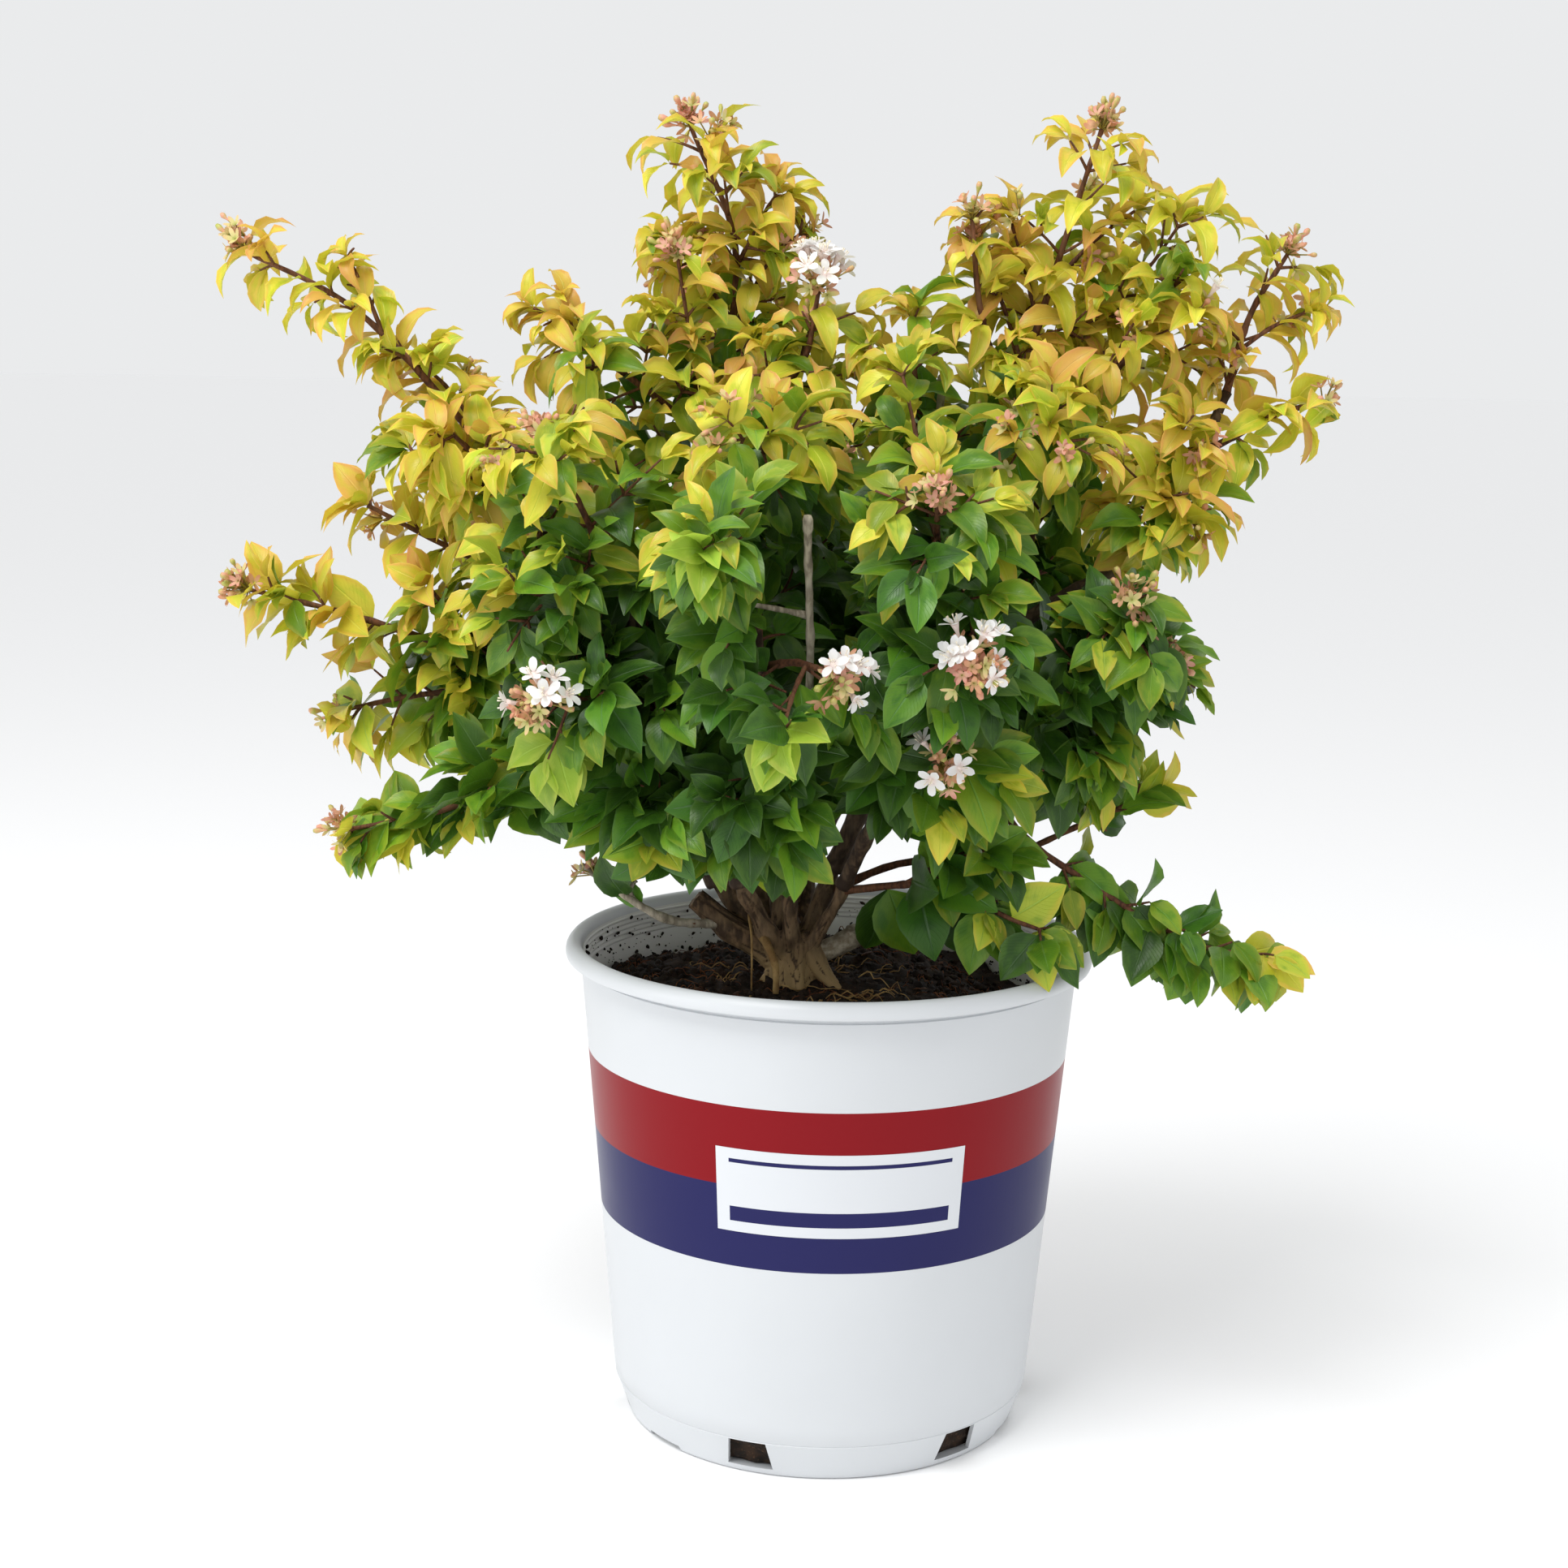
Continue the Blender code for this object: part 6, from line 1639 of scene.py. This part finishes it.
bloom_rng = np.random.default_rng(91)
flower_places, star_places, bud_places = [], [], []
for name, (flower_count, star_count, bud_count) in HEADS.items():
    tip, direction, _ = stems[name].at(1.0)
    outward = unit((tip - CROWN_MIDDLE) * np.array([1.0, 1.0, 0.2]))
    axis = unit(direction * 0.3 + outward * 0.8 + np.array([0.0, 0.0, 0.45]))
    under = unit(outward * 1.0 + direction * 0.2 + np.array([0.0, 0.0, -0.15]))
    for places, count, lean, spread, stalk in (
        (flower_places, flower_count, axis, 0.62, (0.006, 0.013)),
        (star_places, star_count, under, 0.60, (0.005, 0.016)),
        (bud_places, bud_count, under, 0.60, (0.004, 0.014)),
    ):
        headings = random_directions(np.repeat(lean[None], count, axis=0), spread, bloom_rng)
        places += [(tip, heading, bloom_rng.uniform(*stalk)) for heading in headings]
clusters = [(stems[name].at(1.0), count) for name, count in TIP_CLUSTERS.items()]
high_twigs = [twig for twig in twigs if twig.path[-1][2] > CLUSTER_HEIGHT]
chance = bloom_rng.random(len(high_twigs))
clusters += [(twig.at(1.0), TWIG_CLUSTER) for twig, draw in zip(high_twigs, chance) if draw < CLUSTER_SHARE]
for (tip, direction, _), count in clusters:
    upward = unit(direction + np.array([0.0, 0.0, 0.25]))
    for places, number in ((star_places, count), (bud_places, round(count * BUDS_TO_STARS))):
        headings = random_directions(np.repeat(upward[None], number, axis=0), 0.55, bloom_rng)
        places += [(tip, heading, bloom_rng.uniform(0.002, 0.012)) for heading in headings]


def on_stalks(places):
    """Tips of stalks (n, 3), their directions, and where each stalk starts."""
    starts, headings, stalks = map(np.array, zip(*places))
    return starts + headings * stalks[:, None], headings, starts


flower_roots, flower_ways, flower_starts = on_stalks(flower_places)
tube_run = np.linspace(0, FLOWER_TUBE, len(TUBE_RADII))[:, None]
tube_paths = flower_roots[:, None] + flower_ways[:, None] * tube_run
tube_skin = Finish("tube_blush", {"Specular IOR Level": 0.3})
tube_clouds = tube_skin.noise(tube_skin.place(), 300.0)
tube_skin.feed("Base Color", tube_skin.mix(tube_clouds, tint(226, 196, 190), tint(244, 236, 228)))
tube_skin.feed("Roughness", tube_clouds * 0.1 + 0.5)
tube_radii = np.tile(TUBE_RADII, (len(flower_roots), 1))
flower_tubes = shaped("flower_tubes", *tubes(tube_paths, tube_radii, 8), [tube_skin])
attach(flower_tubes, "root")

lobe_starts = flower_roots + flower_ways * FLOWER_TUBE * 0.92
lobe_roots, lobe_ways, lobe_faces = ring_of_five(lobe_starts, flower_ways, LOBE_LEAN, bloom_rng)
lobe_rings = (lobe_roots + lobe_ways * MOUTH_RADIUS, lobe_ways, lobe_faces)
lobe_sheets = petal_sheets(lobe_rings, LOBE_LENGTH, LOBE_SHAPE, bloom_rng)
petal_white = petal_finish("petal_white", (244, 226, 222), (246, 245, 243), (248, 248, 250), 0.3)
many_blades("white_petals", lobe_sheets, PETAL_RUN, PETAL_ACROSS, petal_white, bloom_rng)

star_roots, star_ways, star_starts = on_stalks(star_places)
sepal_rings = ring_of_five(
    np.concatenate([star_roots, flower_roots]), np.concatenate([star_ways, flower_ways]),
    SEPAL_LEAN, bloom_rng,
)
sepal_kind = np.repeat(bloom_rng.random(len(star_roots) + len(flower_roots)), 5)
sepal_sheets = petal_sheets(sepal_rings, SEPAL_LENGTH, SEPAL_SHAPE, bloom_rng)
for name, low_share, high_share, foot, middle, tip in (
    ("sepals_salmon", 0.0, 0.36, (186, 190, 110), (222, 176, 138), (212, 142, 116)),
    ("sepals_rose", 0.36, 0.62, (196, 188, 124), (226, 176, 154), (214, 140, 130)),
    ("sepals_cream", 0.62, 1.01, (166, 182, 94), (214, 206, 142), (230, 190, 146)),
):
    here = (sepal_kind >= low_share) & (sepal_kind < high_share)
    skin = petal_finish(f"{name}_skin", foot, middle, tip, 0.25)
    many_blades(name, sepal_sheets[here], PETAL_RUN, PETAL_ACROSS, skin, bloom_rng)

bud_roots, bud_ways, bud_starts = on_stalks(bud_places)
bud_run = np.linspace(0, 1, len(BUD_PROFILE))
bud_lengths = bloom_rng.uniform(0.005, 0.010, len(bud_roots))
bud_paths = bud_roots[:, None] + bud_ways[:, None] * (bud_lengths[:, None] * bud_run)[..., None]
bud_radii = BUD_PROFILE[None] * bloom_rng.uniform(0.7, 1.0, (len(bud_roots), 1))
bud_skin = Finish("bud_skin", {"Specular IOR Level": 0.4})
bud_clouds = bud_skin.step(bud_skin.noise(bud_skin.place(), 180.0), 0.35, 0.65)
bud_skin.feed("Base Color", bud_skin.mix(bud_clouds, tint(170, 172, 84), tint(214, 152, 126)))
bud_skin.feed("Roughness", bud_clouds * 0.15 + 0.35)
buds = shaped("flower_buds", *tubes(bud_paths, bud_radii, 6), [bud_skin])
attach(buds, "root")

stamen_run = np.linspace(*STAMEN_REACH, len(STAMEN_RADII))
stamen_roots = np.repeat(flower_roots, STAMEN_COUNT, axis=0)
stamen_ways = random_directions(np.repeat(flower_ways, STAMEN_COUNT, axis=0), 0.10, bloom_rng)
stamen_paths = stamen_roots[:, None] + stamen_ways[:, None] * FLOWER_TUBE * stamen_run[:, None]
stamen_radii = np.tile(STAMEN_RADII, (len(stamen_paths), 1))
stamen_skin = Finish("stamen_cream", {"Roughness": 0.6})
stamen_skin.feed("Base Color", stamen_skin.mix(
    stamen_skin.noise(stamen_skin.place(), 600.0), tint(226, 206, 170), tint(250, 246, 232),
))
stamens = shaped("stamens", *tubes(stamen_paths, stamen_radii, 4), [stamen_skin])
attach(stamens, "root")

stalk_starts = np.concatenate([flower_starts, star_starts, bud_starts])
stalk_ends = np.concatenate([flower_roots, star_roots, bud_roots])
stalk_run = np.linspace(0, 1.04, STALK_STATIONS)[:, None]
stalk_paths = stalk_starts[:, None] + (stalk_ends - stalk_starts)[:, None] * stalk_run
stalk_skin = Finish("stalk_green", {"Roughness": 0.5})
stalk_skin.feed("Base Color", stalk_skin.mix(
    stalk_skin.noise(stalk_skin.place(), 150.0), tint(118, 140, 46), tint(164, 112, 66),
))
stalk_radii = np.full((len(stalk_paths), STALK_STATIONS), STALK_RADIUS)
stalks = shaped("flower_stalks", *tubes(stalk_paths, stalk_radii, 5), [stalk_skin])
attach(stalks, "root")

# Studio. A plain pale floor under soft light from above and in front, with the camera where the
# photograph was taken from.
EYE = (0.0, -1.293, 0.5665)
PITCH, YAW, ROLL = 0.17235, -0.01964, 0.0177
PICTURE = 1932
FOCAL_PIXELS = 3059.0
SENSOR = 36.0
FLOOR_REACH = 40.0
FLOOR_DROP = 0.0002

floor_finish = Finish("studio_floor", {"Base Color": (0.99, 0.99, 0.99, 1.0), "Roughness": 0.95})
floor_corners = np.array([(-1, -1, 0), (1, -1, 0), (1, 1, 0), (-1, 1, 0)]) * FLOOR_REACH
floor_points = floor_corners - np.array([0, 0, FLOOR_DROP])
floor = shaped("studio_floor", floor_points, [np.array([(0, 1, 2, 3)])], [floor_finish])

world = bpy.data.worlds.new("studio")
world.use_nodes = True
sky = world.node_tree.nodes["Background"]
sky.inputs["Color"].default_value = (0.98, 0.99, 1.0, 1.0)
sky.inputs["Strength"].default_value = 0.84
bpy.context.scene.world = world
bpy.context.scene.view_settings.view_transform = "Standard"


def aim(obj, place, right, up, heading):
    """Stands a lamp or a camera at its place, so that it looks along its heading."""
    for row, numbers in enumerate(zip(right, up, -heading, place)):
        obj.matrix_world[row] = numbers
    bpy.context.scene.collection.objects.link(obj)


def soft_light(name, place, goal, size, power):
    """A square soft light at a place, turned to its goal."""
    lamp = bpy.data.lights.new(name, "AREA")
    lamp.shape = "SQUARE"
    lamp.size = size
    lamp.energy = power
    made = bpy.data.objects.new(name, lamp)
    heading = unit(np.array(goal) - np.array(place))
    side = unit(np.cross(heading, (0.0, 0.0, 1.0)))
    aim(made, place, side, np.cross(side, heading), heading)


soft_light("soft_top", (-0.6, -0.9, 2.0), (0.0, 0.0, 0.40), 1.0, 27.0)
soft_light("soft_left", (-1.8, -0.9, 0.8), (0.0, 0.0, 0.35), 1.2, 8.0)

lens = bpy.data.cameras.new("photo_view")
lens.sensor_width = SENSOR
lens.lens = FOCAL_PIXELS / PICTURE * SENSOR
lens.clip_start = 0.05
camera = bpy.data.objects.new("photo_view", lens)
level_ahead = np.array([math.sin(YAW), math.cos(YAW), 0.0])
level_right = np.array([math.cos(YAW), -math.sin(YAW), 0.0])
straight_up = np.array([0.0, 0.0, 1.0])
ahead = math.cos(PITCH) * level_ahead - math.sin(PITCH) * straight_up
tilted_up = math.sin(PITCH) * level_ahead + math.cos(PITCH) * straight_up
view_right = math.cos(ROLL) * level_right + math.sin(ROLL) * tilted_up
view_up = -math.sin(ROLL) * level_right + math.cos(ROLL) * tilted_up
aim(camera, EYE, view_right, view_up, ahead)
bpy.context.scene.camera = camera
